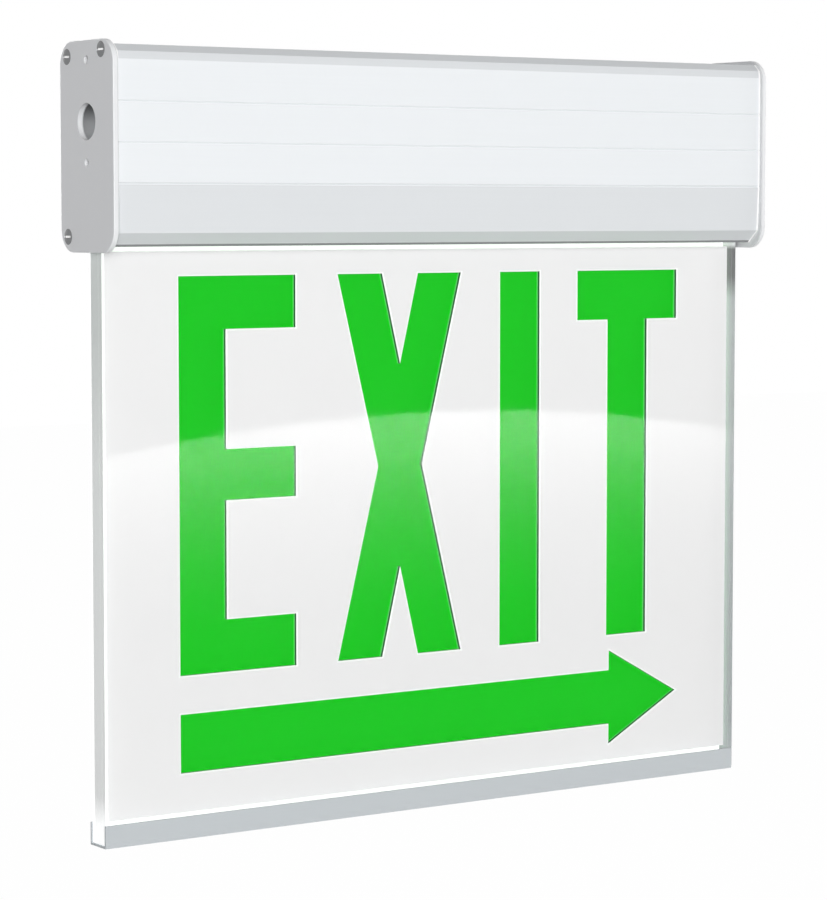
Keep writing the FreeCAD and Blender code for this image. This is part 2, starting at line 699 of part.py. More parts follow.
def make_oval_screw():
    body = new_body("oval_screw_form")
    sketch = new_sketch(body, "XZ")
    head, rise = size.screw_head, size.screw_dome
    crown = (head * head + rise * rise) / (2 * rise)
    draw_outline(sketch, [
        (0, 0 - size.screw_length),
        (size.screw_shank / 2, 0 - size.screw_length),
        (size.screw_shank, 0 - size.screw_length + size.screw_point),
        (size.screw_shank, 0 - size.screw_cone),
        (head, 0),
        Arc(0, rise, crown, False),
    ])
    add_turning(body, sketch)
    add_slot(body, rise, head)
    return body


def make_pan_screw(label, shank, head, head_height, length):
    body = new_body(label)
    sketch = new_sketch(body, "XZ")
    edge = head_height / 2
    draw_outline(sketch, [
        (0, 0 - length),
        (shank, 0 - length),
        (shank, 0),
        (head, 0),
        (head, edge),
        Arc(head - edge, head_height, edge, False),
        (0, head_height),
    ])
    add_turning(body, sketch)
    add_slot(body, head_height, head)
    return body


def make_cap_screws():
    form = make_oval_screw()
    for label, side, rotation in (("left_cap_screws", -1, facing_left),
                                  ("right_cap_screws", 1, facing_right)):
        face = side * size.sign_length / 2
        places = [(face, depth, level) for depth, level in cap_screw_places()]
        nodes.append(place_copies(label, form, places, rotation))


# Panel: clear front sheet, legend plate let into the clear light guide, and white backing sheet.
def make_sheet(label, near, thickness):
    """A full-size sheet whose rear face lies at a given depth."""
    body = new_body(label)
    sketch = new_sketch(body, "XZ", near)
    half, top = panel_width / 2, 0 - size.panel_top
    draw_rectangle(sketch, 0 - half, top - size.panel_height, half, top)
    for across in clamp_places:
        draw_circle(sketch, across, clamp_level, size.clamp_hole)
    add_pad(body, sketch, thickness)
    return body


def draw_legend(sketch, gap):
    half = panel_width / 2 - size.legend_margin + gap
    foot = size.legend_foot - size.panel_top - size.panel_height
    draw_rectangle(sketch, 0 - half, foot - gap, half, gap - size.legend_top)


def make_panel():
    guide_front = panel_front - size.front_sheet
    nodes.append(make_sheet("panel_front_sheet", guide_front, size.front_sheet))

    guide = make_sheet("light_guide", guide_back, size.guide_sheet)
    recess = new_sketch(guide, "XZ", guide_front)
    draw_legend(recess, size.legend_fit)
    add_pocket(guide, recess, size.legend_plate)
    nodes.append(guide)

    legend = new_body("legend_plate")
    sketch = new_sketch(legend, "XZ", guide_front - size.legend_plate)
    draw_legend(sketch, 0)
    add_pad(legend, sketch, size.legend_plate)
    nodes.append(legend)

    nodes.append(make_sheet("panel_backing_sheet", panel_back, size.backing_sheet))


# Channel that keeps the sheets together along their lower edge.
def make_channel():
    body = new_body("bottom_channel")
    sketch = new_sketch(body, "YZ")
    wall = size.channel_wall
    inner_front, inner_back_face = panel_front + size.channel_gap, panel_back - size.channel_gap
    floor_top = 0 - size.panel_top - size.panel_height - size.channel_gap
    low, top = floor_top - wall, floor_top - wall + size.channel_height
    draw_outline(sketch, [
        (0 - inner_front - wall, low),
        (0 - inner_back_face + wall, low),
        (0 - inner_back_face + wall, top),
        (0 - inner_back_face, top),
        (0 - inner_back_face, floor_top),
        (0 - inner_front, floor_top),
        (0 - inner_front, top),
        (0 - inner_front - wall, top),
    ])
    add_pad(body, sketch, panel_width - size.channel_short, both_ways=True)
    set_place(body, 0 - size.channel_shift)
    nodes.append(body)


def make_clamp_screws():
    grip = slot_front - slot_back + 2 * size.leg_thickness
    form = make_pan_screw("clamp_screw_form", size.clamp_shank, size.clamp_head,
                          size.clamp_head_height, grip + size.clamp_tail)
    seat = slot_front + size.leg_thickness
    places = [(across, seat, clamp_level) for across in clamp_places]
    nodes.append(place_copies("panel_clamp_screws", form, places, facing_front))

    nut = new_body("clamp_nut_form")
    sketch = new_sketch(nut, "XZ")
    draw_hexagon(sketch, as_size(0), as_size(0), size.nut_width)
    draw_circle(sketch, 0, 0, size.clamp_shank + size.screw_play)
    add_pad(nut, sketch, size.nut_thickness)
    behind = slot_back - size.leg_thickness - size.nut_thickness
    places = [(across, behind, clamp_level) for across in clamp_places]
    nodes.append(place_copies("panel_clamp_nuts", nut, places))


# Light strip: a board bonded under the slot's roof, with emitters over the panel's top edge.
def make_light_strip():
    middle = strip_depth
    board = new_body("light_strip_board")
    sketch = new_sketch(board, "XY", roof_under - size.strip_thickness)
    half_length, half_width = strip_length / 2, size.strip_width / 2
    draw_rectangle(sketch, 0 - half_length, 0 - middle - half_width,
                   half_length, 0 - middle + half_width)
    add_pad(board, sketch, size.strip_thickness)
    nodes.append(board)

    form = new_body("emitter_form")
    sketch = new_sketch(form, "XY")
    draw_rectangle(sketch, 0 - size.emitter_length / 2, 0 - size.emitter_width / 2,
                   size.emitter_length / 2, size.emitter_width / 2)
    add_pad(form, sketch, size.emitter_height)
    count = int((strip_length.value - 2 * size.strip_margin.value) // size.emitter_pitch.value) + 1
    level = roof_under - size.strip_thickness - size.emitter_height
    places = [((index - (count - 1) / 2) * size.emitter_pitch, middle, level)
              for index in range(count)]
    nodes.append(place_copies("light_emitters", form, places))


# Folded steel tray for the driver board.
def make_tray():
    body = new_body("driver_tray")
    sketch = new_sketch(body, "YZ", tray_across)
    gauge, inner = size.tray_gauge, size.bend_radius
    outer = inner + gauge
    back, tip = size.housing_wall, size.housing_wall + size.tray_flange
    low = 0 - size.tray_base
    top = low + size.tray_height
    draw_outline(sketch, [
        (0 - tip, low),
        (0 - back - outer, low),
        Arc(0 - back, low + outer, outer, False),
        (0 - back, top - outer),
        Arc(0 - back - outer, top, outer, False),
        (0 - tip, top),
        (0 - tip, top - gauge),
        (0 - back - outer, top - gauge),
        Arc(0 - back - gauge, top - outer, inner, True),
        (0 - back - gauge, low + outer),
        Arc(0 - back - outer, low + gauge, inner, True),
        (0 - tip, low + gauge),
    ])
    add_pad(body, sketch, size.tray_length, both_ways=True)
    holes = new_sketch(body, "XZ", back)
    for across, up in tray_fixings():
        draw_circle(holes, across, up, size.fixing_bore)
    add_pocket(body, holes, 2 * (gauge + overrun), both_ways=True)
    nodes.append(body)

    grip = size.housing_wall + gauge - size.fixing_recess
    form = make_pan_screw("tray_screw_form", size.fixing_bore - size.screw_play, size.clamp_head,
                          size.clamp_head_height, grip)
    places = [(across, back + gauge, up) for across, up in tray_fixings()]
    nodes.append(place_copies("driver_tray_screws", form, places, facing_front))

    earth = make_pan_screw("earth_screw", size.clamp_shank, size.earth_head,
                           size.clamp_head_height, size.housing_wall - size.fixing_recess)
    set_place(earth, size.earth_across, size.housing_wall, 0 - size.earth_below, facing_front)
    nodes.append(earth)


def board_corners():
    reach = size.board_length / 2 - size.board_inset
    rise = size.board_height / 2 - size.board_inset
    return [(tray_across + x * reach, tray_middle + z * rise) for x in (-1, 1) for z in (-1, 1)]


def plug_places():
    """Middles of the lead connectors on the board: battery, light strip, test switch and lamp."""
    low = tray_middle - size.board_height / 2 + size.plug_height / 2 + size.plug_margin
    high = tray_middle + size.board_height / 2 - size.plug_height
    columns = [board_left + size.plug_inset + step * size.plug_pitch for step in range(3)]
    return [(across, low) for across in columns] + [(columns[-1], high)]


def make_board():
    board = new_body("driver_board")
    sketch = new_sketch(board, "XZ", board_back)
    half_length, half_height = size.board_length / 2, size.board_height / 2
    draw_rectangle(sketch, tray_across - half_length, tray_middle - half_height,
                   tray_across + half_length, tray_middle + half_height)
    for across, up in board_corners():
        draw_circle(sketch, across, up, size.board_hole)
    add_pad(board, sketch, size.board_thickness)
    nodes.append(board)

    spacer = new_body("spacer_form")
    sketch = new_sketch(spacer, "XZ")
    draw_hexagon(sketch, as_size(0), as_size(0), size.spacer_width)
    draw_circle(sketch, 0, 0, size.spacer_bore)
    add_pad(spacer, sketch, size.spacer_height)
    places = [(across, size.housing_wall + size.tray_gauge, up) for across, up in board_corners()]
    nodes.append(place_copies("board_spacers", spacer, places))

    grip = size.board_thickness + size.spacer_height - size.spacer_reserve
    form = make_pan_screw("board_screw_form", size.spacer_bore - size.screw_play,
                          size.board_screw_head, size.board_screw_rise, grip)
    places = [(across, board_front, up) for across, up in board_corners()]
    nodes.append(place_copies("board_screws", form, places, facing_front))

    plug = new_body("plug_form")
    sketch = new_sketch(plug, "XZ")
    half_width, half_plug = size.plug_width / 2, size.plug_height / 2
    draw_rectangle(sketch, 0 - half_width, 0 - half_plug, half_width, half_plug)
    add_pad(plug, sketch, size.plug_depth)
    places = [(across, board_front, up) for across, up in plug_places()]
    nodes.append(place_copies("lead_connectors", plug, places))


# Transformer: a laminated core with two windows, and the winding round its middle leg.
def make_transformer():
    build = size.winding_build
    core_back = board_front + build
    core = new_body("transformer_core")
    sketch = new_sketch(core, "XZ", core_back)
    middle, level = board_left + size.core_inset, tray_middle
    half_width, half_height = size.core_width / 2, size.core_height / 2
    window_half = half_height - size.core_leg
    draw_rectangle(sketch, middle - half_width, level - half_height,
                   middle + half_width, level + half_height)
    for inner, outer in ((middle - size.core_centre_leg / 2, middle - half_width + size.core_leg),
                         (middle + half_width - size.core_leg, middle + size.core_centre_leg / 2)):
        draw_rectangle(sketch, outer, level - window_half, inner, level + window_half)
    add_pad(core, sketch, size.core_stack)
    nodes.append(core)

    winding = new_body("transformer_winding")
    half_coil = window_half - 2 * size.winding_gap
    sketch = new_sketch(winding, "XY", level - half_coil)
    gap = size.winding_gap
    inner_half = size.core_centre_leg / 2 + gap
    outer_half = inner_half + build - 3 * gap
    draw_rectangle(sketch, middle - inner_half, 0 - core_back - size.core_stack - gap,
                   middle + inner_half, 0 - core_back + gap)
    draw_rectangle(sketch, middle - outer_half, 0 - core_back - size.core_stack - build,
                   middle + outer_half, 0 - core_back + build)
    add_pad(winding, sketch, 2 * half_coil)
    nodes.append(winding)


def make_capacitors():
    form = new_body("capacitor_form")
    sketch = new_sketch(form, "XZ")
    radius, height = size.can_radius, size.can_height
    crimp, foot, edge = size.can_crimp, size.can_crimp_foot, size.can_edge
    draw_outline(sketch, [
        (0, 0),
        (radius, 0),
        (radius, foot),
        (radius - crimp, foot + crimp),
        (radius, foot + 2 * crimp),
        (radius, height - edge),
        Arc(radius - edge, height, edge, False),
        (0, height),
    ])
    add_turning(form, sketch)
    across, half_step = board_left + size.can_inset, size.can_radius + size.can_gap / 2
    places = [(across, board_front, tray_middle - half_step),
              (across, board_front, tray_middle + half_step),
              (across + 2 * half_step, board_front, tray_middle)]
    nodes.append(place_copies("capacitors", form, places, facing_front))


# Three-way terminal block for the supply: wires enter from the left, screws face forward.
def make_terminal_block():
    body = new_body("terminal_block")
    sketch = new_sketch(body, "XZ", board_front)
    half_width, half_height = size.block_width / 2, size.block_height / 2
    draw_rectangle(sketch, block_across - half_width, tray_middle - half_height,
                   block_across + half_width, tray_middle + half_height)
    add_pad(body, sketch, size.block_depth)
    levels = [tray_middle - size.block_pitch, tray_middle, tray_middle + size.block_pitch]
    screws = new_sketch(body, "XZ", board_front + size.block_depth)
    entries = new_sketch(body, "YZ", block_across - half_width)
    for level in levels:
        draw_circle(screws, block_across, level, size.block_screw)
        draw_circle(entries, 0 - board_front - size.block_depth / 3, level, size.block_entry)
    add_pocket(body, screws, size.block_screw_depth)
    add_pocket(body, entries, size.block_entry_depth, backwards=True)
    nodes.append(body)


# Battery: two rows of cells in one sleeve, held to the back by a saddle strap.
def make_battery():
    body = new_body("battery_pack")
    sketch = new_sketch(body, "YZ", pack_across)
    radius, depth = size.cell_radius, pack_depth
    lower, upper = pack_level - radius, pack_level + radius
    draw_outline(sketch, [
        Arc(0 - depth + radius, lower, radius, False),
        (0 - depth + radius, upper),
        Arc(0 - depth, upper + radius, radius, False),
        Arc(0 - depth - radius, upper, radius, False),
        (0 - depth - radius, lower),
        Arc(0 - depth, lower - radius, radius, False),
    ])
    add_pad(body, sketch, size.pack_length, both_ways=True)
    nodes.append(body)

    strap = new_body("battery_strap")
    sketch = new_sketch(strap, "YZ", pack_across)
    gauge, back, inner = size.strap_gauge, size.housing_wall, size.bend_radius
    outer = inner + gauge
    front = back + 2 * (size.pack_gap + radius)
    over, under = pack_level + pack_half_height, pack_level - pack_half_height
    draw_outline(sketch, [
        (0 - back, over + gauge + size.strap_tab),
        (0 - back - gauge, over + gauge + size.strap_tab),
        (0 - back - gauge, over + gauge + inner),
        Arc(0 - back - outer, over + gauge, inner, True),
        (0 - front - gauge + outer, over + gauge),
        Arc(0 - front - gauge, over + gauge - outer, outer, False),
        (0 - front - gauge, under - gauge + outer),
        Arc(0 - front - gauge + outer, under - gauge, outer, False),
        (0 - back - outer, under - gauge),
        Arc(0 - back - gauge, under - gauge - inner, inner, True),
        (0 - back - gauge, under - gauge - size.strap_tab),
        (0 - back, under - gauge - size.strap_tab),
        (0 - back, under - outer),
        Arc(0 - back - outer, under, outer, False),
        (0 - front + inner, under),
        Arc(0 - front, under + inner, inner, True),
        (0 - front, over - inner),
        Arc(0 - front + inner, over, inner, True),
        (0 - back - outer, over),
        Arc(0 - back, over + outer, outer, False),
    ])
    add_pad(strap, sketch, size.strap_width, both_ways=True)
    holes = new_sketch(strap, "XZ", back)
    for across, up in strap_fixings():
        draw_circle(holes, across, up, size.fixing_bore)
    add_pocket(strap, holes, 2 * (gauge + overrun), both_ways=True)
    nodes.append(strap)

    grip = size.housing_wall + gauge - size.fixing_recess
    form = make_pan_screw("strap_screw_form", size.fixing_bore - size.screw_play, size.clamp_head,
                          size.clamp_head_height, grip)
    places = [(across, back + gauge, up) for across, up in strap_fixings()]
    nodes.append(place_copies("battery_strap_screws", form, places, facing_front))


# Test button: it slides in the lower small hole of the right-hand end cap, kept in by its flange,
# and its stem runs into the switch. These turned pieces are drawn with their axis along Z and the
# end cap's inner face at Z = 0.
def make_test_button():
    body = new_body("test_button")
    sketch = new_sketch(body, "XZ")
    shaft = size.end_hole - size.button_play
    proud = size.cap_thickness + size.button_proud
    flange_top = 0 - size.flange_gap
    flange_foot = flange_top - size.flange_thickness
    draw_outline(sketch, [
        (0, flange_foot - size.stem_length),
        (size.stem_radius, flange_foot - size.stem_length),
        (size.stem_radius, flange_foot),
        (size.button_flange, flange_foot),
        (size.button_flange, flange_top),
        (shaft, flange_top),
        (shaft, proud - size.button_edge),
        Arc(shaft - size.button_edge, proud, size.button_edge, False),
        (0, proud),
    ])
    add_turning(body, sketch)
    set_place(body, cap_inside, mid_depth, button_level, facing_right)
    nodes.append(body)


def make_test_switch():
    body = new_body("test_switch")
    far = size.flange_gap + size.flange_thickness + size.button_travel + size.switch_clear
    sketch = new_sketch(body, "YZ", cap_inside - far)
    half_width, half_height = size.switch_width / 2, size.switch_height / 2
    draw_rectangle(sketch, 0 - mid_depth - half_width, button_level - half_height,
                   0 - mid_depth + half_width, button_level + half_height)
    add_pad(body, sketch, size.switch_length, backwards=True)
    bore = new_sketch(body, "YZ", cap_inside - far)
    draw_circle(bore, 0 - mid_depth, button_level, size.stem_radius + size.stem_play)
    add_pocket(body, bore, size.stem_length + size.stem_reserve)
    nodes.append(body)


def make_charge_lamp():
    body = new_body("charge_lamp")
    sketch = new_sketch(body, "XZ")
    shaft = size.end_hole - size.button_play
    face, rise = size.cap_thickness, size.lamp_rise
    crown = (shaft * shaft + rise * rise) / (2 * rise)
    draw_outline(sketch, [
        (0, 0 - size.lamp_body),
        (shaft, 0 - size.lamp_body),
        (shaft, 0 - size.flange_thickness),
        (size.button_flange, 0 - size.flange_thickness),
        (size.button_flange, 0),
        (shaft, 0),
        (shaft, face),
        Arc(0, face + rise, crown, False),
    ])
    add_turning(body, sketch)
    set_place(body, cap_inside, mid_depth, size.end_hole_top, facing_right)
    nodes.append(body)


# Blanking plug snapped into the wire entry of the right-hand end cap.
def make_blanking_plug():
    body = new_body("blanking_plug")
    sketch = new_sketch(body, "XZ")
    face = size.cap_thickness
    outer = size.wire_hole - size.blank_fit
    inner = outer - size.blank_wall
    foot = face - size.blank_depth - size.blank_wall
    rim = size.wire_hole + size.blank_lip
    draw_outline(sketch, [
        (0, face),
        (inner, face),
        (inner, foot),
        (outer - size.barb_lead_in, foot),
        (outer + size.barb_rise, 0 - size.flange_gap - size.barb_length),
        (outer + size.barb_rise, 0 - size.flange_gap),
        (outer, 0 - size.flange_gap),
        (outer, face),
        (rim, face),
        (rim, face + size.blank_face / 2),
        (rim - size.blank_face / 2, face + size.blank_face),
        (0, face + size.blank_face),
    ])
    add_turning(body, sketch)
    set_place(body, cap_inside, mid_depth, size.wire_hole_height, facing_right)
    nodes.append(body)


# Leads inside the housing: straight runs joined by tangent arcs.
def lead_path(points):
    """A wire through the points, each bend an arc that takes 0.45 of its shorter run."""
    edges = []
    start = points[0]
    for before, corner, after in zip(points, points[1:], points[2:]):
        back, ahead = before - corner, after - corner
        reach = 0.45 * min(back.Length, ahead.Length)
        into = corner + Vector(back).normalize() * reach
        out = corner + Vector(ahead).normalize() * reach
        bisector = (Vector(back).normalize() + Vector(ahead).normalize()).normalize()
        half_angle = back.getAngle(ahead) / 2
        radius = reach * math.tan(half_angle)
        middle = corner + bisector * (reach / math.cos(half_angle) - radius)
        edges.append(Part.makeLine(start, into))
        edges.append(Part.Arc(into, middle, out).toShape())
        start = out
    edges.append(Part.makeLine(start, points[-1]))
    return Part.Wire(edges)


def make_lead(label, places):
    points = [Vector(as_size(x).value, -as_size(depth).value, as_size(up).value)
              for x, depth, up in places]
    path = lead_path(points)
    section = Part.Wire([Part.makeCircle(size.lead_radius.value, points[0], points[1] - points[0])])
    lead = doc.addObject("Part::Feature", label)
    lead.Label = label
    lead.Shape = path.makePipeShell([section], True, False)
    lead.Placement = Placement()
    nodes.append(lead)


def make_leads():
    plug_face = board_front + size.plug_depth
    battery, strip, switch, lamp = plug_places()
    low = roof_over + size.lead_gap + size.lead_radius
    pack_end = pack_across + size.pack_length / 2
    switch_end = (cap_inside - size.flange_gap - size.flange_thickness - size.button_travel
                  - size.switch_clear - size.switch_length)
    make_lead("battery_lead", [
        (pack_end, pack_depth, low + size.cell_radius),
        (pack_end + size.lead_tail, pack_depth, low + size.cell_radius),
        (pack_end + size.lead_tail + size.lead_shift, mid_depth, low),
        (battery[0] - size.lead_tail, mid_depth, low),
        (battery[0], mid_depth, battery[1]),
        (battery[0], plug_face, battery[1]),
    ])
    make_lead("light_strip_lead", [
        (strip[0], plug_face, strip[1]),
        (strip[0], strip_lead_depth, strip[1]),
        (strip[0], strip_lead_depth, roof_under),
    ])
    make_lead("switch_lead", [
        (switch[0], plug_face, switch[1]),
        (switch[0], mid_depth, switch[1]),
        (switch[0] + size.lead_tail, mid_depth, button_level),
        (switch_end, mid_depth, button_level),
    ])
    make_lead("lamp_lead", [
        (lamp[0], plug_face, lamp[1]),
        (lamp[0], mid_depth, lamp[1]),
        (lamp[0], mid_depth, size.end_hole_top),
        (cap_inside - size.lamp_body, mid_depth, size.end_hole_top),
    ])


make_rear_housing()
make_front_cover()
make_end_cap("left_end_cap", -1)
make_end_cap("right_end_cap", 1)
make_cap_screws()
make_panel()
make_channel()
make_clamp_screws()
make_light_strip()
make_tray()
make_board()
make_transformer()
make_capacitors()
make_terminal_block()
make_battery()
make_test_button()
make_test_switch()
make_charge_lamp()
make_blanking_plug()
make_leads()
doc.recompute()

faulty = [each.Name for each in doc.Objects if "Invalid" in each.State or "Error" in each.State]
if faulty:
    raise RuntimeError("objects in error: " + ", ".join(faulty))
os.makedirs("parts", exist_ok=True)
for node in nodes:
    if node.Shape.isNull() or not node.Shape.isValid() or not node.Shape.Solids:
        raise RuntimeError("no valid solid in " + node.Label)
for node in nodes:
    node.Shape.exportStep(f"parts/{node.Label}.step")
    print(f"{node.Label}: {len(node.Shape.Solids)} solid(s), {node.Shape.Volume / 1000:.2f} cm3")
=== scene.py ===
import math

import bmesh
import bpy
from mathutils import Matrix, Vector
from mathutils.geometry import delaunay_2d_cdt


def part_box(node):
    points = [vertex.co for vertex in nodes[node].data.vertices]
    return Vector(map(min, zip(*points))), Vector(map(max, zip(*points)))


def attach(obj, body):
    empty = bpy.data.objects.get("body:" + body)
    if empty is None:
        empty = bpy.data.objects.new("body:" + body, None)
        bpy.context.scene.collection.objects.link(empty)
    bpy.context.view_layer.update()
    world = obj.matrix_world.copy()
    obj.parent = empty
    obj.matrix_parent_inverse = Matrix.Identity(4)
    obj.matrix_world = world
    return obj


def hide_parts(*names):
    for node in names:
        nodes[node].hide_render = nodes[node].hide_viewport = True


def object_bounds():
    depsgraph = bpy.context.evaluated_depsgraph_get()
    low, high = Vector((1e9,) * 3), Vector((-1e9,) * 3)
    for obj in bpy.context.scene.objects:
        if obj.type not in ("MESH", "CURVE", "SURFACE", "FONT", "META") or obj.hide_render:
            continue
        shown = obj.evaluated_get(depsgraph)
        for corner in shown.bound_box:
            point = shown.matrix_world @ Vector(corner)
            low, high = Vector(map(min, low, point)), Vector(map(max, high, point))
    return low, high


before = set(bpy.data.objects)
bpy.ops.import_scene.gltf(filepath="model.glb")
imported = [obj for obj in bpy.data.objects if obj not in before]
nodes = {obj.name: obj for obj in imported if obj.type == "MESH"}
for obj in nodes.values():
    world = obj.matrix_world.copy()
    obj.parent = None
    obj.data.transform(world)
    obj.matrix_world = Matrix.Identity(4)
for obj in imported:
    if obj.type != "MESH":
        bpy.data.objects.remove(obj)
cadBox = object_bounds()
mm = 0.001
print("frame loaded")


# Camera first: the sign is seen from its left, level with the housing.

camera = {
    "place": (-0.95661, -1.40535, -0.03154),
    "turn": (85.616, 0.0, -34.409),
    "lens": 125.05,
    "sensor": 36.0,
    "nearest": 0.05,
}


def makeCamera():
    data = bpy.data.cameras.new("camera")
    data.lens = camera["lens"]
    data.sensor_width = camera["sensor"]
    data.clip_start = camera["nearest"]
    viewer = bpy.data.objects.new("camera", data)
    viewer.location = camera["place"]
    viewer.rotation_euler = [math.radians(angle) for angle in camera["turn"]]
    bpy.context.scene.collection.objects.link(viewer)
    bpy.context.scene.camera = viewer


makeCamera()
print("camera set")


# Building blocks of the finishes. All of them read Object coordinates.

texture = {
    "cloudDetail": 2.0,         # octaves of a soft cloud, and of finer marks
    "markDetail": 3.0,
    "colorRange": (0.3, 0.7),   # where a noise starts and ends its change of colour
}


def newMaterial(name, color, roughness, metallic=0.0):
    material = bpy.data.materials.new(name)
    material.use_nodes = True
    shader = material.node_tree.nodes["Principled BSDF"]
    shader.inputs["Base Color"].default_value = (*color, 1)
    shader.inputs["Roughness"].default_value = roughness
    shader.inputs["Metallic"].default_value = metallic
    return material, shader


def link(material, source, target):
    material.node_tree.links.new(source, target)


def noiseOn(material, scale, stretch=(1, 1, 1), detail=texture["markDetail"]):
    # a stretch under 1 draws the noise out along that axis
    tree = material.node_tree
    place = tree.nodes.new("ShaderNodeTexCoord")
    mapping = tree.nodes.new("ShaderNodeMapping")
    mapping.inputs["Scale"].default_value = stretch
    noise = tree.nodes.new("ShaderNodeTexNoise")
    noise.inputs["Scale"].default_value = scale
    noise.inputs["Detail"].default_value = detail
    link(material, place.outputs["Object"], mapping.inputs["Vector"])
    link(material, mapping.outputs["Vector"], noise.inputs["Vector"])
    return noise.outputs["Fac"]


def placeAlong(material, axis):
    place = material.node_tree.nodes.new("ShaderNodeTexCoord")
    parts = material.node_tree.nodes.new("ShaderNodeSeparateXYZ")
    link(material, place.outputs["Object"], parts.inputs["Vector"])
    return parts.outputs[axis]


def spreadFrom(material, value, start, end):
    spread = material.node_tree.nodes.new("ShaderNodeMapRange")
    spread.inputs["From Min"].default_value = start
    spread.inputs["From Max"].default_value = end
    link(material, value, spread.inputs["Value"])
    return spread.outputs["Result"]


def alongOn(material, axis, start, end):
    # 0 at start and 1 at end, along one of the piece's axes
    return spreadFrom(material, placeAlong(material, axis), start, end)


def outwardOn(material, start, end):
    # 0 at start and 1 at end, measured sideways from the sign's middle to either end
    away = material.node_tree.nodes.new("ShaderNodeMath")
    away.operation = "ABSOLUTE"
    link(material, placeAlong(material, "X"), away.inputs[0])
    return spreadFrom(material, away.outputs["Value"], start, end)


def setStops(ramp, stops):
    elements = ramp.color_ramp.elements
    while len(elements) < len(stops):
        elements.new(1.0)
    for element, (position, color) in zip(elements, stops):
        element.position = position
        element.color = (*color, 1)


def rampFrom(material, factor, stops, interpolation="LINEAR"):
    ramp = material.node_tree.nodes.new("ShaderNodeValToRGB")
    ramp.color_ramp.interpolation = interpolation
    setStops(ramp, stops)
    link(material, factor, ramp.inputs["Fac"])
    return ramp.outputs["Color"]


def rampColor(material, shader, factor, stops):
    link(material, rampFrom(material, factor, stops), shader.inputs["Base Color"])


def mottle(material, shader, factor, color, depth):
    # the colour, a little deeper where the factor is low
    deeper = tuple(channel * depth for channel in color)
    rampColor(material, shader, factor, list(zip(texture["colorRange"], (deeper, color))))


def rampRoughness(material, shader, factor, roughness, less, more):
    spread = material.node_tree.nodes.new("ShaderNodeMapRange")
    spread.inputs["To Min"].default_value = roughness - less
    spread.inputs["To Max"].default_value = roughness + more
    link(material, factor, spread.inputs["Value"])
    link(material, spread.outputs["Result"], shader.inputs["Roughness"])


def bumpFrom(material, shader, factor, height, strength):
    bump = material.node_tree.nodes.new("ShaderNodeBump")
    bump.inputs["Strength"].default_value = strength
    bump.inputs["Distance"].default_value = height
    link(material, factor, bump.inputs["Height"])
    link(material, bump.outputs["Normal"], shader.inputs["Normal"])


def greyStops(stops):
    return [(position, (share, share, share)) for position, share in stops]


# Extruded aluminium, with die lines that run along it.

aluminium = {
    "housingColor": (0.904, 0.93, 0.952),
    "channelColor": (0.583, 0.619, 0.641),
    "metallic": 0.0,
    "roughness": 0.6,
    "specular": 0.2,
    "lineScale": 900.0,
    "lineStretch": (0.01, 1.0, 1.0),
    "lineHeight": 0.002 * mm,
    "lineBump": 0.5,
    "lineDepth": 0.992,         # share of the colour that is left in a line
    "lineSpread": 0.02,         # what a line adds to or takes from the roughness
}
# painted shade on the front cover's top bevels, upper groove walls, lower band, chamfer and foot line,
# and painted highlights on the lower groove walls
cover = {
    "top": [(0.0 * mm, 0.785), (3.5 * mm, 0.84), (7.2 * mm, 1.0)],     # drop, share of the colour
    "grooveShades": [(27.8 * mm, 1.0), (48.0 * mm, 1.0), (68.2 * mm, 0.87)],     # middle, share below
    "foot": [(92.9 * mm, 0.83), (98.3 * mm, 0.33)],
    "grooveWidth": 0.9 * mm,
    "upperWallShade": 0.89,          # share of the colour on a groove's two walls: painted shade on the upper wall, painted highlight on the lower
    "lowerWallHighlight": 1.05,
    "endHighlightWidth": 1.1 * mm,         # painted highlight: a white line at each end of the cover
    "endHighlightBlend": 0.11 * mm,
    "endHighlightColor": (1.0, 1.0, 1.0),
}


def makeAluminium(name, color):
    material, shader = newMaterial(name, color, aluminium["roughness"], aluminium["metallic"])
    shader.inputs["Specular IOR Level"].default_value = aluminium["specular"]
    lines = noiseOn(material, aluminium["lineScale"], aluminium["lineStretch"])
    spread = aluminium["lineSpread"]
    mottle(material, shader, lines, color, aluminium["lineDepth"])
    rampRoughness(material, shader, lines, aluminium["roughness"], spread, spread)
    bumpFrom(material, shader, lines, aluminium["lineHeight"], aluminium["lineBump"])
    return material


def coverPaintedBands():
    # from the top edge down, the drop at which each band of painted shade or highlight starts and its
    # share of the colour
    half = cover["grooveWidth"] / 2
    walls = []
    for drop, below in cover["grooveShades"]:
        walls += [(drop - half, cover["upperWallShade"]), (drop, cover["lowerWallHighlight"]), (drop + half, below)]
    return cover["top"] + walls + cover["foot"]


def makeCoverPaintedLight(name):
    # the housing's metal with painted shade on each band and a painted highlight at each end of the
    # cover
    material = makeAluminium(name, aluminium["housingColor"])
    tree = material.node_tree
    base = tree.nodes["Principled BSDF"].inputs["Base Color"]
    low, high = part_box("front_cover")
    drop = alongOn(material, "Z", high[2], low[2])
    stops = [(start / (high[2] - low[2]), share) for start, share in coverPaintedBands()]
    paintedBands = rampFrom(material, drop, greyStops(stops), "CONSTANT")
    bandShade = tree.nodes.new("ShaderNodeMix")
    bandShade.data_type = "RGBA"
    bandShade.blend_type = "MULTIPLY"
    bandShade.inputs["Factor"].default_value = 1.0
    endHighlights = tree.nodes.new("ShaderNodeMix")
    endHighlights.data_type = "RGBA"
    endHighlights.inputs["B"].default_value = (*cover["endHighlightColor"], 1)
    # painted highlight: the cover turns white within a millimetre of each end
    cut = high[0] - cover["endHighlightWidth"]
    link(material, base.links[0].from_socket, bandShade.inputs["A"])
    link(material, paintedBands, bandShade.inputs["B"])
    link(material, outwardOn(material, cut, cut + cover["endHighlightBlend"]), endHighlights.inputs["Factor"])
    link(material, bandShade.outputs["Result"], endHighlights.inputs["A"])
    link(material, endHighlights.outputs["Result"], base)
    return material


# Moulded plastic and lacquer, with a spark-eroded grain and a faint cloud in the colour.

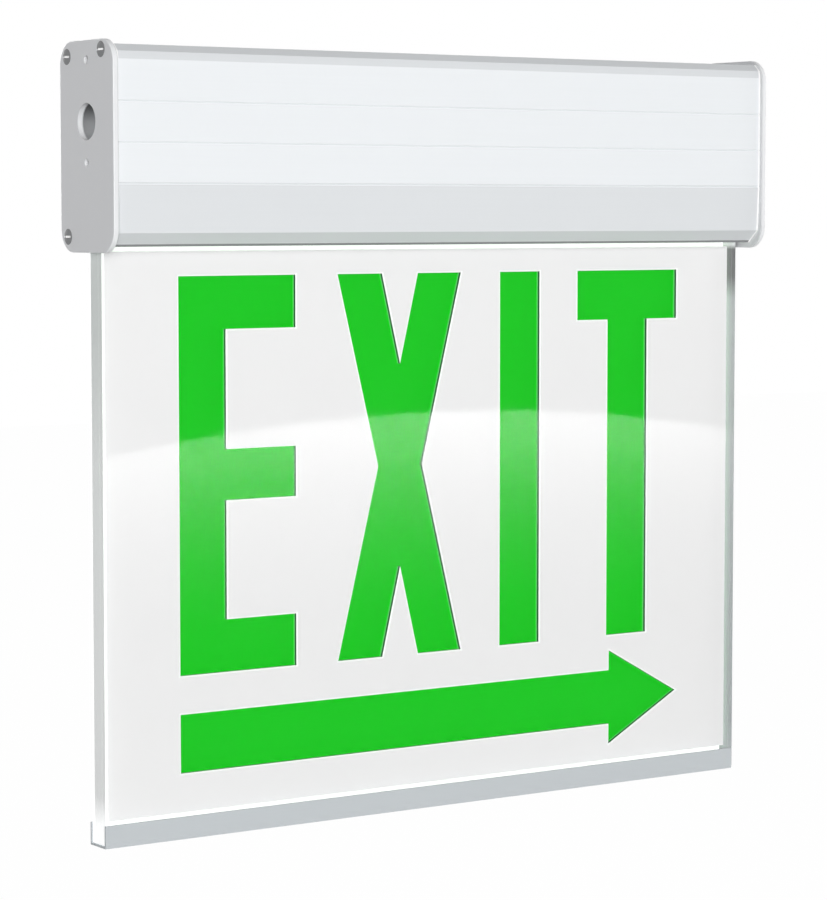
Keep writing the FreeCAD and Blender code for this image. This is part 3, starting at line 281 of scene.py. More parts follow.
moulding = {
    "grainScale": 2600.0,
    "grainHeight": 0.01 * mm,
    "grainBump": 0.4,
    "grainSpread": 0.06,
    "cloudScale": 60.0,
    "cloudDepth": 0.98,
}
endCap = {
    "face": (0.81, 0.82, 0.84),
    # painted highlight on the rounded rim, and painted shade where the cap meets the housing
    "rim": (0.88, 0.89, 0.905),
    "seam": (0.64, 0.65, 0.665),
    "plate": 3.0 * mm,
    "rimHighlightBand": (0.06, 0.12, 0.78, 0.86),    # through the plate: the painted rim highlight begins, is full, stops, then painted shade where the cap meets the housing is full
    "roughness": 0.42,
}


def makeMoulded(name, color, roughness):
    material, shader = newMaterial(name, color, roughness)
    grain = noiseOn(material, moulding["grainScale"], detail=texture["cloudDetail"])
    cloud = noiseOn(material, moulding["cloudScale"], detail=texture["cloudDetail"])
    spread = moulding["grainSpread"]
    mottle(material, shader, cloud, color, moulding["cloudDepth"])
    rampRoughness(material, shader, grain, roughness, spread, spread)
    bumpFrom(material, shader, grain, moulding["grainHeight"], moulding["grainBump"])
    return material


def makeCapPaintedLight(name):
    # the flat face, then its rim with a painted highlight, and painted shade where the cap meets the
    # housing
    material = makeMoulded(name, endCap["face"], endCap["roughness"])
    shader = material.node_tree.nodes["Principled BSDF"]
    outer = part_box("left_end_cap")[0][0]
    inward = outwardOn(material, -outer, -outer - endCap["plate"])
    colors = endCap["face"], endCap["rim"], endCap["rim"], endCap["seam"]
    rampColor(material, shader, inward, list(zip(endCap["rimHighlightBand"], colors)))
    return material


# Plated steel and turned brass.

plating = {
    "markScale": 1500.0,
    "markHeight": 0.006 * mm,
    "markBump": 0.5,
    "markDepth": 0.86,
    "smoother": 0.08,           # what the marks take from and add to the roughness
    "rougher": 0.1,
}


def makePlated(name, color, roughness, metallic=1.0):
    material, shader = newMaterial(name, color, roughness, metallic)
    marks = noiseOn(material, plating["markScale"])
    mottle(material, shader, marks, color, plating["markDepth"])
    rampRoughness(material, shader, marks, roughness, plating["smoother"], plating["rougher"])
    bumpFrom(material, shader, marks, plating["markHeight"], plating["markBump"])
    return material


# Acrylic sheet: white, polished clear, and the sawn edge that both have. The white plate, the backing
# and the near sawn edge carry painted glow, and the far sawn edge painted shade.

acrylic = {
    "white": (0.92, 0.92, 0.92),
    # painted glow on the white plate, on the backing's front face and on the backing's edge; none of
    # them is a lamp
    "whitePaintedGlow": 0.075,
    "whiteRoughness": 0.3,
    "whiteSpread": 0.02,
    "cloudScale": 35.0,
    "cloudDepth": 0.992,
    "backing": (0.93, 0.935, 0.935),
    "backingPaintedGlow": 0.9,
    "backingEdgePaintedGlow": 0.55,
    "paintedGlowSkin": (0.3 * mm, 0.1 * mm),    # how deep under its front face the backing stops glowing
    "clearAlpha": 0.026,
    "guideAlpha": 0.02,
    "clearIor": 2.6,
    "clearRoughness": 0.03,
    "hazeScale": 25.0,
    "smoother": 0.01,           # what the haze takes from and adds to the roughness
    "rougher": 0.02,
}
sawnEdge = {                    # stops go down the sheet, from its top edge to its foot
    # near: lighter towards the foot
    "near": [(0.1, (0.86, 0.91, 0.89)), (0.9, (0.95, 0.965, 0.965))],
    # far: painted shade in a band just under the housing
    "far": [(0.076, (0.9, 0.91, 0.92)), (0.08, (0.2, 0.2, 0.205)), (0.13, (0.2, 0.2, 0.205)),
            (0.17, (0.5, 0.52, 0.53)), (1.0, (0.4, 0.42, 0.435))],
    # painted glow down the near edge, strongest at the foot
    "lit": [(0.2, 0.0), (0.4, 0.2), (0.925, 0.2), (0.97, 1.0)],
    "nearPaintedGlow": 0.45,
    "farPaintedGlow": 0.0,
    "roughness": 0.5,
    "markScale": 500.0,
    "markStretch": (1.0, 0.06, 1.0),
    "markHeight": 0.01 * mm,
    "markBump": 0.4,
}


def makeWhiteSheet(name, color, glow=0.0):
    roughness, spread = acrylic["whiteRoughness"], acrylic["whiteSpread"]
    material, shader = newMaterial(name, color, roughness)
    cloud = noiseOn(material, acrylic["cloudScale"], detail=texture["cloudDetail"])
    mottle(material, shader, cloud, color, acrylic["cloudDepth"])
    rampRoughness(material, shader, cloud, roughness, spread, spread)
    # painted glow, where a glow is given
    shader.inputs["Emission Color"].default_value = (1, 1, 1, 1)
    shader.inputs["Emission Strength"].default_value = glow
    return material


def makePaintedGlowBacking(name):
    # painted light: its front face glows, standing in for the light that reaches it round the legend
    # plate
    material = makeWhiteSheet(name, acrylic["backing"], acrylic["backingPaintedGlow"])
    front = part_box("panel_backing_sheet")[0][1]
    dark, lit = [front + depth for depth in acrylic["paintedGlowSkin"]]
    shader = material.node_tree.nodes["Principled BSDF"]
    link(material, alongOn(material, "Y", dark, lit), shader.inputs["Emission Color"])
    return material


def makeClearSheet(name, alpha):
    # black and nearly see-through, so that it adds gloss and hides almost nothing
    roughness = acrylic["clearRoughness"]
    material, shader = newMaterial(name, (0.0, 0.0, 0.0), roughness)
    shader.inputs["Alpha"].default_value = alpha
    shader.inputs["IOR"].default_value = acrylic["clearIor"]
    haze = noiseOn(material, acrylic["hazeScale"], detail=texture["cloudDetail"])
    rampRoughness(material, shader, haze, roughness, acrylic["smoother"], acrylic["rougher"])
    return material


def makeSawnEdgePaintedLight(name, stops, glow):
    # the colour changes down the sheet, with painted shade under the housing on the far edge, and a
    # painted glow runs down it, strongest at its foot
    material, shader = newMaterial(name, stops[0][1], sawnEdge["roughness"])
    low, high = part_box("light_guide")
    drop = alongOn(material, "Z", high[2], low[2])
    rampColor(material, shader, drop, stops)
    lit = rampFrom(material, drop, greyStops(sawnEdge["lit"]))
    link(material, lit, shader.inputs["Emission Color"])
    shader.inputs["Emission Strength"].default_value = glow
    marks = noiseOn(material, sawnEdge["markScale"], sawnEdge["markStretch"])
    bumpFrom(material, shader, marks, sawnEdge["markHeight"], sawnEdge["markBump"])
    return material


# every plain finish has a name, a colour and a roughness
housingMetal = makeAluminium("housing_metal", aluminium["housingColor"])
coverMetalPaintedLight = makeCoverPaintedLight("cover_metal_painted_light")
channelMetal = makeAluminium("channel_metal", aluminium["channelColor"])
capPlasticPaintedLight = makeCapPaintedLight("cap_plastic_painted_light")
screwSteel = makePlated("screw_steel", (0.6, 0.61, 0.62), 0.3)
capScrewSteel = makePlated("cap_screw_steel", (0.25, 0.255, 0.26), 0.55, 0.0)
traySteel = makePlated("tray_steel", (0.66, 0.67, 0.68), 0.38)
turnedBrass = makePlated("turned_brass", (0.78, 0.6, 0.28), 0.3)
leadSleeve = makeMoulded("lead_sleeve", (0.02, 0.02, 0.02), 0.5)

finishes = {
    "rear_housing": housingMetal,
    "front_cover": coverMetalPaintedLight,
    "bottom_channel": channelMetal,
    "left_end_cap": capPlasticPaintedLight,
    "right_end_cap": capPlasticPaintedLight,
    "left_cap_screws": capScrewSteel,
    "right_cap_screws": capScrewSteel,
    "panel_clamp_screws": screwSteel,
    "panel_clamp_nuts": screwSteel,
    "driver_tray_screws": screwSteel,
    "board_screws": screwSteel,
    "battery_strap_screws": screwSteel,
    "driver_tray": traySteel,
    "battery_strap": traySteel,
    "earth_screw": turnedBrass,
    "board_spacers": turnedBrass,
    "light_strip_board": makeMoulded("board_white", (0.82, 0.83, 0.82), 0.35),
    "light_emitters": makeMoulded("phosphor", (0.85, 0.75, 0.25), 0.5),
    "driver_board": makeMoulded("board_green", (0.03, 0.18, 0.07), 0.35),
    "lead_connectors": makeMoulded("natural_nylon", (0.75, 0.73, 0.66), 0.5),
    "transformer_core": makeMoulded("varnished_core", (0.05, 0.05, 0.055), 0.4),
    "transformer_winding": makeMoulded("winding_tape", (0.7, 0.5, 0.06), 0.35),
    "capacitors": makeMoulded("capacitor_sleeve", (0.02, 0.025, 0.05), 0.3),
    "terminal_block": makeMoulded("terminal_green", (0.03, 0.2, 0.09), 0.45),
    "battery_pack": makeMoulded("battery_sleeve", (0.03, 0.1, 0.35), 0.3),
    "test_button": makeMoulded("button_red", (0.55, 0.02, 0.015), 0.28),
    "test_switch": makeMoulded("switch_black", (0.02, 0.02, 0.02), 0.45),
    "charge_lamp": makeMoulded("lamp_red", (0.45, 0.01, 0.01), 0.12),
    "blanking_plug": makeMoulded("plug_grey", (0.7, 0.71, 0.73), 0.45),
    "battery_lead": leadSleeve,
    "light_strip_lead": leadSleeve,
    "switch_lead": leadSleeve,
    "lamp_lead": leadSleeve,
}

for nodeName, finish in finishes.items():
    for materialSlot in nodes[nodeName].material_slots:
        materialSlot.material = finish
print("solids finished:", len(finishes))


def keepPiece(shape, name, materials):
    # turns a finished shape into a piece of the sign, at the origin, with its place in its mesh
    mesh = bpy.data.meshes.new(name)
    shape.to_mesh(mesh)
    shape.free()
    for material in materials:
        mesh.materials.append(material)
    piece = bpy.data.objects.new(name, mesh)
    bpy.context.scene.collection.objects.link(piece)
    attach(piece, "sign")
    return piece


# The three sheets of the panel, each with polished faces and sawn edges.

panel = {
    "airGap": 0.04 * mm,        # drawn between sheets that lie face to face
    "mergeGap": 0.001 * mm,
    "edgeReach": 0.2 * mm,      # how near the outline a face counts as the sheet's edge
}
sheetSlots = {"face": 0, "edge": 1, "farEdgePaintedShade": 2}


def dressSheet(nodeName, name, materials):
    low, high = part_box(nodeName)
    shape = bmesh.new()
    shape.from_mesh(nodes[nodeName].data)
    bmesh.ops.remove_doubles(shape, verts=shape.verts, dist=panel["mergeGap"])
    for corner in shape.verts:
        if corner.co.y > high[1] - panel["airGap"]:
            corner.co.y -= panel["airGap"]
    for face in shape.faces:
        middle = face.calc_center_median()
        atSide = min(middle.x - low[0], high[0] - middle.x) < panel["edgeReach"]
        atEnd = min(middle.z - low[2], high[2] - middle.z) < panel["edgeReach"]
        atFarSide = high[0] - middle.x < panel["edgeReach"]
        if atFarSide:
            face.material_index = sheetSlots["farEdgePaintedShade"]
        elif atSide or atEnd:
            face.material_index = sheetSlots["edge"]
        else:
            face.material_index = sheetSlots["face"]
    piece = keepPiece(shape, name, materials)
    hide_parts(nodeName)


nearEdgePaintedGlow = makeSawnEdgePaintedLight("near_edge_painted_glow", sawnEdge["near"], sawnEdge["nearPaintedGlow"])
farEdgePaintedShade = makeSawnEdgePaintedLight("far_edge_painted_shade", sawnEdge["far"], sawnEdge["farPaintedGlow"])
# painted glow on the white plate and on the backing's edge
whitePlatePaintedGlow = makeWhiteSheet("white_plate_painted_glow", acrylic["white"], acrylic["whitePaintedGlow"])
whiteEdgePaintedGlow = makeWhiteSheet("white_edge_painted_glow", acrylic["backing"], acrylic["backingEdgePaintedGlow"])
dressSheet("panel_front_sheet", "front_sheet",
           [makeClearSheet("clear_front", acrylic["clearAlpha"]), nearEdgePaintedGlow, farEdgePaintedShade])
dressSheet("light_guide", "guide_sheet",
           [makeClearSheet("clear_guide", acrylic["guideAlpha"]), nearEdgePaintedGlow, farEdgePaintedShade])
dressSheet("panel_backing_sheet", "backing_sheet",
           [makePaintedGlowBacking("white_backing_painted_glow"), whiteEdgePaintedGlow, whiteEdgePaintedGlow])
print("panel sheets dressed")


# Legend: a white plate with the letters and the arrow cut through it, over a green film.

legend = {
    "letterDrop": 12.78 * mm,     # the letters' top, below the plate's top edge
    "letterHeight": 204.3 * mm,
    "leftMargin": 42.85 * mm,
    "bar": 27.3 * mm,
    "middleBar": 26.4 * mm,
    "stem": 27.8 * mm,
    "narrowStem": 26.7 * mm,
    "letterWidth": 70.1 * mm,
    "crossWidth": 79.1 * mm,
    "crossStroke": 28.0 * mm,
    "notch": 48.0 * mm,           # how far the cross letter's notches reach in
    "gap": 26.1 * mm,
    "arrowDrop": 20.0 * mm,       # the shaft, below the letters
    "arrowShaft": 30.35 * mm,
    "arrowHead": 52.9 * mm,
    "arrowHeadLength": 47.7 * mm,
    "arrowLength": 325.0 * mm,
    "rimWidth": 0.8 * mm,         # chamfer round each cut
    "rimDepth": 0.3 * mm,
    "film": 0.2 * mm,
    "fillGap": 0.01 * mm,         # corners nearer than this count as one when a face is filled
}
legendFinish = {
    "green": (0.006, 0.66, 0.012),
    "greenDepth": 0.985,
    "greenRoughness": 0.5,
    "smoother": 0.02,             # what the cloud takes from and adds to the roughness
    "rougher": 0.04,
    "greenGloss": 0.05,
    "greenCloud": 30.0,
    # painted shade and painted green light on the walls of the cuts
    "wallShade": (0.03, 0.085, 0.055),
    "wallPaintedGreenLight": (0.28, 0.85, 0.34),
    "wallBand": (0.58, 0.68),     # through the plate, where the painted shade turns into painted green light
    "rim": (0.92, 0.95, 0.935),
    "rimDeep": (0.87, 0.91, 0.89),
    "rimCloud": 900.0,
    "cutRoughness": 0.3,
    # painted glow on the chamfer round each cut and on the plate's outer edge
    "rimPaintedGlow": 0.2,
    "edgePaintedGlow": 0.6,
}
plateSlots = {"face": 0, "wall": 1, "rim": 2, "edge": 3}


def letterOutlines(low, high):
    # closed outlines of (x, z) points, anticlockwise
    left, top = low[0] + legend["leftMargin"], high[2] - legend["letterDrop"]
    foot = top - legend["letterHeight"]
    middle = (top + foot) / 2
    bar, stem, width = legend["bar"], legend["stem"], legend["letterWidth"]
    half = legend["middleBar"] / 2

    right, inner = left + width, left + stem
    letterE = [(left, foot), (right, foot), (right, foot + bar), (inner, foot + bar),
               (inner, middle - half), (right, middle - half), (right, middle + half),
               (inner, middle + half), (inner, top - bar), (right, top - bar),
               (right, top), (left, top)]

    left = right + legend["gap"]
    right = left + legend["crossWidth"]
    centre, arm, notch = (left + right) / 2, legend["crossStroke"], legend["notch"]
    letterX = [(left, foot), (left + arm, foot), (centre, foot + notch), (right - arm, foot),
               (right, foot), (centre + arm / 2, middle), (right, top), (right - arm, top),
               (centre, top - notch), (left + arm, top), (left, top), (centre - arm / 2, middle)]

    left = right + legend["gap"]
    right = left + legend["narrowStem"]
    letterI = [(left, foot), (right, foot), (right, top), (left, top)]

    left = right + legend["gap"]
    right = left + width
    centre, half = (left + right) / 2, stem / 2
    letterT = [(centre - half, foot), (centre + half, foot), (centre + half, top - bar),
               (right, top - bar), (right, top), (left, top), (left, top - bar),
               (centre - half, top - bar)]

    tail = low[0] + legend["leftMargin"]
    tip = tail + legend["arrowLength"]
    neck = tip - legend["arrowHeadLength"]
    shaft, head = legend["arrowShaft"] / 2, legend["arrowHead"] / 2
    level = foot - legend["arrowDrop"] - shaft
    arrow = [(tail, level - shaft), (neck, level - shaft), (neck, level - head), (tip, level),
             (neck, level + head), (neck, level + shaft), (tail, level + shaft)]
    return [letterE, letterX, letterI, letterT, arrow]


def widen(outline, distance):
    # the outline moved outwards, with mitred corners
    wider = []
    for index, point in enumerate(outline):
        before = (Vector(point) - Vector(outline[index - 1])).normalized()
        after = (Vector(outline[(index + 1) % len(outline)]) - Vector(point)).normalized()
        outBefore = Vector((before.y, -before.x))
        outAfter = Vector((after.y, -after.x))
        mitre = (outBefore + outAfter).normalized()
        wider.append(tuple(Vector(point) + mitre * distance / mitre.dot(outBefore)))
    return wider


def addLoop(shape, outline, depth):
    return [shape.verts.new((x, depth, z)) for x, z in outline]


def addBand(shape, first, second, materialIndex):
    for index in range(len(first)):
        face = shape.faces.new((first[index - 1], first[index], second[index], second[index - 1]))
        face.material_index = materialIndex


def addFlat(shape, loops):
    # fills the first loop, apart from the loops inside it
    corners = [corner for loop in loops for corner in loop]
    rings, start = [], 0
    for loop in loops:
        rings.append(list(range(start, start + len(loop))))
        start += len(loop)
    flat = [Vector((corner.co.x, corner.co.z)) for corner in corners]
    _, _, triangles, sources, _, owners = delaunay_2d_cdt(flat, [], rings, 1, legend["fillGap"])
    for triangle, owner in zip(triangles, owners):
        if owner == [0]:
            shape.faces.new([corners[sources[index][0]] for index in triangle])


def makeCutWallPaintedLight(name, front, back):
    # painted shade under the chamfer, then painted green light from the film
    dark, green = legendFinish["wallShade"], legendFinish["wallPaintedGreenLight"]
    material, shader = newMaterial(name, green, legendFinish["cutRoughness"])
    depth = alongOn(material, "Y", front, back)
    rampColor(material, shader, depth, list(zip(legendFinish["wallBand"], (dark, green))))
    return material


def makePaintedGlowRim(name, glow):
    material, shader = newMaterial(name, legendFinish["rim"], legendFinish["cutRoughness"])
    cloud = noiseOn(material, legendFinish["rimCloud"])
    colors = legendFinish["rimDeep"], legendFinish["rim"]
    rampColor(material, shader, cloud, list(zip(texture["colorRange"], colors)))
    # painted glow, though the rim is no lamp
    shader.inputs["Emission Color"].default_value = (1, 1, 1, 1)
    shader.inputs["Emission Strength"].default_value = glow
    return material


def makeFilm(name):
    green, roughness = legendFinish["green"], legendFinish["greenRoughness"]
    material, shader = newMaterial(name, green, roughness)
    shader.inputs["Specular IOR Level"].default_value = legendFinish["greenGloss"]
    cloud = noiseOn(material, legendFinish["greenCloud"], detail=texture["cloudDetail"])
    mottle(material, shader, cloud, green, legendFinish["greenDepth"])
    rampRoughness(material, shader, cloud, roughness, legendFinish["smoother"], legendFinish["rougher"])
    return material


def makeLegend():
    low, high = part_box("legend_plate")
    front, back = low[1], high[1] - legend["film"]
    sheet = [(low[0], low[2]), (high[0], low[2]), (high[0], high[2]), (low[0], high[2])]

    plate = bmesh.new()
    frontLoops, backLoops = [addLoop(plate, sheet, front)], [addLoop(plate, sheet, back)]
    addBand(plate, frontLoops[0], backLoops[0], plateSlots["edge"])
    for outline in letterOutlines(low, high):
        wide = addLoop(plate, widen(outline, legend["rimWidth"]), front)
        narrow = addLoop(plate, outline, front + legend["rimDepth"])
        foot = addLoop(plate, outline, back)
        addBand(plate, wide, narrow, plateSlots["rim"])
        addBand(plate, narrow, foot, plateSlots["wall"])
        frontLoops.append(wide)
        backLoops.append(foot)
    addFlat(plate, frontLoops)
    addFlat(plate, backLoops)
    bmesh.ops.recalc_face_normals(plate, faces=plate.faces)
    plateFinishes = [whitePlatePaintedGlow, makeCutWallPaintedLight("cut_wall_painted_light", front, back),
                     makePaintedGlowRim("painted_glow_rim", legendFinish["rimPaintedGlow"]),
                     makePaintedGlowRim("painted_glow_edge", legendFinish["edgePaintedGlow"])]
    piece = keepPiece(plate, "legend_cut_plate", plateFinishes)
    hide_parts("legend_plate")

    film = bmesh.new()
    frontLoop = addLoop(film, sheet, back + panel["airGap"])
    backLoop = addLoop(film, sheet, high[1])
    addBand(film, frontLoop, backLoop, plateSlots["face"])
    addFlat(film, [frontLoop])
    addFlat(film, [backLoop])
    bmesh.ops.recalc_face_normals(film, faces=film.faces)
    keepPiece(film, "legend_film", [makeFilm("green_film")])


makeLegend()
print("legend cut")


# Cap screws, turned until their slots lie level, and a floor in each slot painted near white as a
# painted highlight.

slotFloor = {
    "length": 5.2 * mm,
    "width": 1.06 * mm,
    "thickness": 0.3 * mm,
    "sunk": 1.05 * mm,        # below the head's crown
    "cornerSteps": 6,
    "cornerShare": 0.499,     # corner radius, as a share of the width
    "headDepth": 1.5 * mm,    # how much of a screw's outer end counts as its head
    "sharpAngle": math.radians(30),
}


def splitScrews(shape):
    # the corners of each screw, gathered along its edges
    left, screws = set(shape.verts), []
    for start in shape.verts:
        if start not in left:
            continue
        left.remove(start)
        screw, reach = [], [start]
        while reach:
            corner = reach.pop()
            screw.append(corner)
            for edge in corner.link_edges:
                other = edge.other_vert(corner)
                if other in left:
                    left.remove(other)
                    reach.append(other)
        screws.append(screw)
    return screws


def turnScrews(nodeName, name, side):
    # a copy of the screws with level slots, and the places of the slots' floors
    shape = bmesh.new()
    shape.from_mesh(nodes[nodeName].data)
    bmesh.ops.remove_doubles(shape, verts=shape.verts, dist=panel["mergeGap"])
    floors = []
    for screw in splitScrews(shape):
        crown = max(corner.co.x * side for corner in screw)
        head = [corner.co for corner in screw if corner.co.x * side > crown - slotFloor["headDepth"]]
        depths, levels = [place.y for place in head], [place.z for place in head]
        depth, level = (min(depths) + max(depths)) / 2, (min(levels) + max(levels)) / 2
        bmesh.ops.rotate(shape, verts=screw, cent=(0.0, depth, level),
                         matrix=Matrix.Rotation(math.pi / 2, 3, "X"))
        floors.append((side * (crown - slotFloor["sunk"]), depth, level))
    for face in shape.faces:
        face.smooth = True
    for edge in shape.edges:
        edge.smooth = edge.calc_face_angle(math.pi) < slotFloor["sharpAngle"]
    piece = keepPiece(shape, name, [capScrewSteel])
    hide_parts(nodeName)
    return floors


def makeSlotTree(finish):
    tree = bpy.data.node_groups.new("slot_floors", "GeometryNodeTree")
    tree.interface.new_socket("Centres", in_out="INPUT", socket_type="NodeSocketGeometry")
    for label in ("Length", "Width", "Thickness"):
        tree.interface.new_socket(label, in_out="INPUT", socket_type="NodeSocketFloat")
    tree.interface.new_socket("Turn", in_out="INPUT", socket_type="NodeSocketRotation")
    tree.interface.new_socket("Floors", in_out="OUTPUT", socket_type="NodeSocketGeometry")
    source, result = tree.nodes.new("NodeGroupInput"), tree.nodes.new("NodeGroupOutput")
    outline = tree.nodes.new("GeometryNodeCurvePrimitiveQuadrilateral")
    corner = tree.nodes.new("ShaderNodeMath")
    corner.operation = "MULTIPLY"
    corner.inputs[1].default_value = slotFloor["cornerShare"]
    roundOff = tree.nodes.new("GeometryNodeFilletCurve")
    roundOff.mode = "POLY"
    roundOff.inputs["Count"].default_value = slotFloor["cornerSteps"]
    fill = tree.nodes.new("GeometryNodeFillCurve")
    fill.mode = "NGONS"
    lift = tree.nodes.new("GeometryNodeExtrudeMesh")
    turnOver = tree.nodes.new("GeometryNodeFlipFaces")
    both = tree.nodes.new("GeometryNodeJoinGeometry")
    weld = tree.nodes.new("GeometryNodeMergeByDistance")
    weld.inputs["Distance"].default_value = panel["mergeGap"]
    points = tree.nodes.new("GeometryNodeMeshToPoints")
    spread = tree.nodes.new("GeometryNodeInstanceOnPoints")
    realize = tree.nodes.new("GeometryNodeRealizeInstances")
    paint = tree.nodes.new("GeometryNodeSetMaterial")
    paint.inputs["Material"].default_value = finish
    for start, end in ((source.outputs["Width"], outline.inputs["Width"]),
                       (source.outputs["Length"], outline.inputs["Height"]),
                       (source.outputs["Width"], corner.inputs[0]),
                       (outline.outputs["Curve"], roundOff.inputs["Curve"]),
                       (corner.outputs["Value"], roundOff.inputs["Radius"]),
                       (roundOff.outputs["Curve"], fill.inputs["Curve"]),
                       (fill.outputs["Mesh"], lift.inputs["Mesh"]),
                       (source.outputs["Thickness"], lift.inputs["Offset Scale"]),
                       (fill.outputs["Mesh"], turnOver.inputs["Mesh"]),
                       (lift.outputs["Mesh"], both.inputs["Geometry"]),
                       (turnOver.outputs["Mesh"], both.inputs["Geometry"]),
                       (both.outputs["Geometry"], weld.inputs["Geometry"]),
                       (source.outputs["Centres"], points.inputs["Mesh"]),
                       (points.outputs["Points"], spread.inputs["Points"]),
                       (weld.outputs["Geometry"], spread.inputs["Instance"]),
                       (source.outputs["Turn"], spread.inputs["Rotation"]),
                       (spread.outputs["Instances"], realize.inputs["Geometry"]),
                       (realize.outputs["Geometry"], paint.inputs["Geometry"]),
                       (paint.outputs["Geometry"], result.inputs["Floors"])):
        tree.links.new(start, end)
    return tree


def makeSlotFloors(tree, floors, name, side):
    mesh = bpy.data.meshes.new(name)
    mesh.from_pydata(floors, [], [])
    piece = bpy.data.objects.new(name, mesh)
    bpy.context.scene.collection.objects.link(piece)
    modifier = piece.modifiers.new("slots", "NODES")
    modifier.node_group = tree
    values = {"Length": slotFloor["length"], "Width": slotFloor["width"],
              "Thickness": slotFloor["thickness"], "Turn": (0.0, side * math.pi / 2, 0.0)}
    for socket in tree.interface.items_tree:
        if socket.name in values:
            modifier[socket.identifier] = values[socket.name]
    evaluated = piece.evaluated_get(bpy.context.evaluated_depsgraph_get())
    shape = bpy.data.meshes.new_from_object(evaluated)
    piece.modifiers.clear()
    piece.data = shape
    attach(piece, "sign")


# painted highlight: the slot floors are near white, against the dark screw heads
slotTree = makeSlotTree(makePlated("slot_painted_highlight", (0.95, 0.95, 0.95), 0.4))
leftFloors = turnScrews("left_cap_screws", "left_level_screws", -1)
makeSlotFloors(slotTree, leftFloors, "left_slot_floors", -1)
rightFloors = turnScrews("right_cap_screws", "right_level_screws", 1)
makeSlotFloors(slotTree, rightFloors, "right_slot_floors", 1)
print("screw slots milled")


# Stage: a pale floor under a white surround, and soft lamps.

stage = {
    "floorDrop": 0.25,
    "floorSize": 12.0,
    "floorColor": (0.75, 0.75, 0.75),
    "floorRoughness": 0.9,
    "floorWhite": 0.99,       # share of plain white in what is seen of the floor
    "surround": 0.12,         # strength of the surround as light
}


def linkSeen(tree, target, low, high):
    # high for camera, mirror and see-through rays, and low for the light on surfaces
    path = tree.nodes.new("ShaderNodeLightPath")
    seen = path.outputs["Is Camera Ray"]
    for ray in ("Is Glossy Ray", "Is Transmission Ray"):
        either = tree.nodes.new("ShaderNodeMath")
        either.operation = "MAXIMUM"
        tree.links.new(seen, either.inputs[0])
        tree.links.new(path.outputs[ray], either.inputs[1])
        seen = either.outputs["Value"]
    spread = tree.nodes.new("ShaderNodeMapRange")
    spread.inputs["To Min"].default_value = low
    spread.inputs["To Max"].default_value = high
    tree.links.new(seen, spread.inputs["Value"])
    tree.links.new(spread.outputs["Result"], target)


def makePlane(name, corners, material):
    mesh = bpy.data.meshes.new(name)
    mesh.from_pydata(corners, [], [tuple(range(len(corners)))])
    mesh.materials.append(material)
    thing = bpy.data.objects.new(name, mesh)
    bpy.context.scene.collection.objects.link(thing)
    return thing


def makeSurround():
    world = bpy.data.worlds.new("surround")
    bpy.context.scene.world = world
    world.use_nodes = True
    background = world.node_tree.nodes["Background"]
    background.inputs["Color"].default_value = (1, 1, 1, 1)
    linkSeen(world.node_tree, background.inputs["Strength"], stage["surround"], 1.0)


def makeFloor():
    material, shader = newMaterial("floor", stage["floorColor"], stage["floorRoughness"])
    tree = material.node_tree
    white = tree.nodes.new("ShaderNodeEmission")
    mix = tree.nodes.new("ShaderNodeMixShader")
    linkSeen(tree, mix.inputs["Fac"], 0.0, stage["floorWhite"])
    tree.links.new(shader.outputs["BSDF"], mix.inputs[1])
    tree.links.new(white.outputs["Emission"], mix.inputs[2])
    tree.links.new(mix.outputs["Shader"], tree.nodes["Material Output"].inputs["Surface"])
    half, level = stage["floorSize"] / 2, cadBox[0][2] - stage["floorDrop"]
    makePlane("floor", [(-half, -half, level), (half, -half, level),
                        (half, half, level), (-half, half, level)], material)


lamps = {
    "key_lamp": {"place": (-3.1, -6.2, 0.1), "size": 4.0, "spread": 70.0, "power": 104.0},
    "right_lamp": {"place": (2.8, -0.3, 0.3), "size": 1.6, "spread": 70.0, "power": 5.5},
    "back_lamp": {"place": (0.3, 2.8, 0.5), "size": 1.8, "spread": 70.0, "power": 8.0},
}


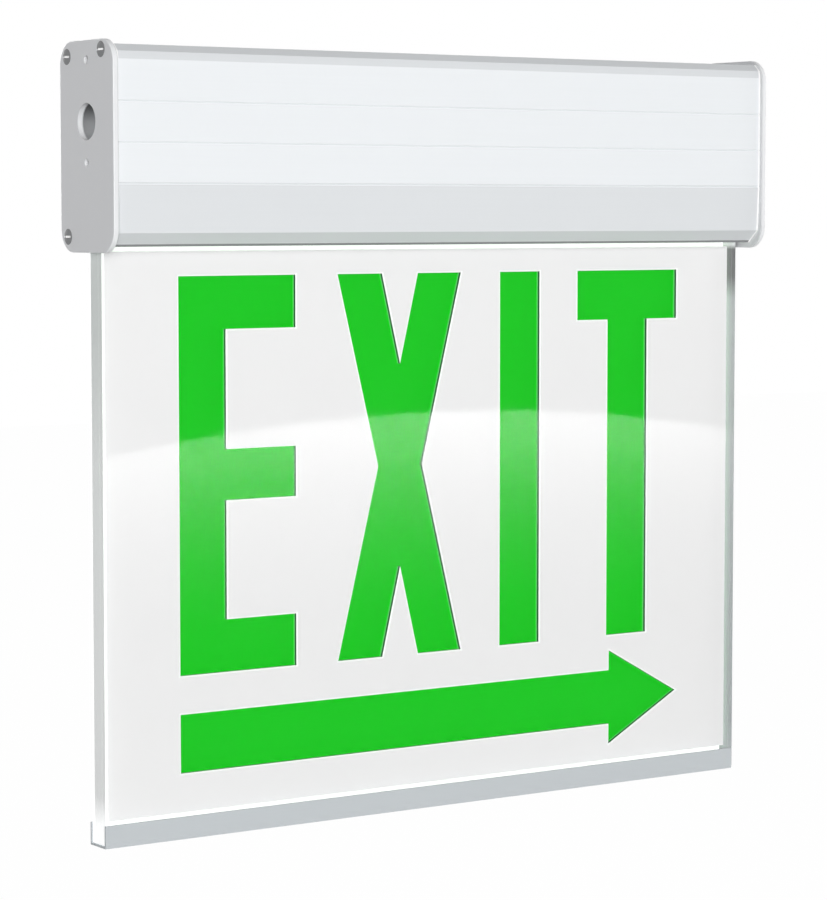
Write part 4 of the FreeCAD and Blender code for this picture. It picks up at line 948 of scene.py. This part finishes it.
def makeLamps():
    low, high = cadBox
    aim = (Vector(low) + Vector(high)) / 2
    for name, lamp in lamps.items():
        data = bpy.data.lights.new(name, "AREA")
        data.shape = "SQUARE"
        data.size = lamp["size"]
        data.spread = math.radians(lamp["spread"])
        data.energy = lamp["power"]
        holder = bpy.data.objects.new(name, data)
        holder.location = lamp["place"]
        holder.rotation_euler = (Vector(lamp["place"]) - aim).to_track_quat("Z", "Y").to_euler()
        bpy.context.scene.collection.objects.link(holder)


# A bright card with an arched top edge that only the gloss of the panel shows. It fades downwards.

card = {
    "distance": 0.9,          # in front of the wall
    "arcRadius": 2.05,
    "arcCentre": 0.598,
    "arcTop": -0.208,
    "halfWidth": 0.75,
    "height": 0.22,
    "drop": 0.2,              # how far the arc falls away at the card's sides
    "strength": 17.0,
    "fadePower": 2.5,
    "steps": 48,
}


def makeCard():
    material = bpy.data.materials.new("card")
    material.use_nodes = True
    tree = material.node_tree
    tree.nodes.remove(tree.nodes["Principled BSDF"])
    fade = alongOn(material, "Z", card["arcTop"] - card["height"], card["arcTop"])
    curve = tree.nodes.new("ShaderNodeMath")
    curve.operation = "POWER"
    curve.inputs[1].default_value = card["fadePower"]
    power = tree.nodes.new("ShaderNodeMapRange")
    power.inputs["To Min"].default_value = 1.0
    power.inputs["To Max"].default_value = card["strength"]
    glow = tree.nodes.new("ShaderNodeEmission")
    tree.links.new(fade, curve.inputs[0])
    tree.links.new(curve.outputs["Value"], power.inputs["Value"])
    tree.links.new(power.outputs["Result"], glow.inputs["Strength"])
    tree.links.new(glow.outputs["Emission"], tree.nodes["Material Output"].inputs["Surface"])

    depth, low = -card["distance"], card["arcTop"] - card["height"] - card["drop"]
    corners = [(card["arcCentre"] + card["halfWidth"], depth, low),
               (card["arcCentre"] - card["halfWidth"], depth, low)]
    for step in range(card["steps"] + 1):
        across = (2 * step / card["steps"] - 1) * card["halfWidth"]
        fall = card["arcRadius"] - math.sqrt(card["arcRadius"] ** 2 - across ** 2)
        corners.append((card["arcCentre"] + across, depth, card["arcTop"] - fall))
    thing = makePlane("card", corners, material)
    thing.visible_camera = False
    thing.visible_diffuse = False
    thing.visible_transmission = False
    thing.visible_shadow = False
    receivers = bpy.data.collections.new("gloss_receivers")
    receivers.objects.link(bpy.data.objects["front_sheet"])
    thing.light_linking.receiver_collection = receivers


makeSurround()
makeFloor()
makeLamps()
makeCard()
bpy.context.scene.view_settings.view_transform = "Standard"
print("stage set")
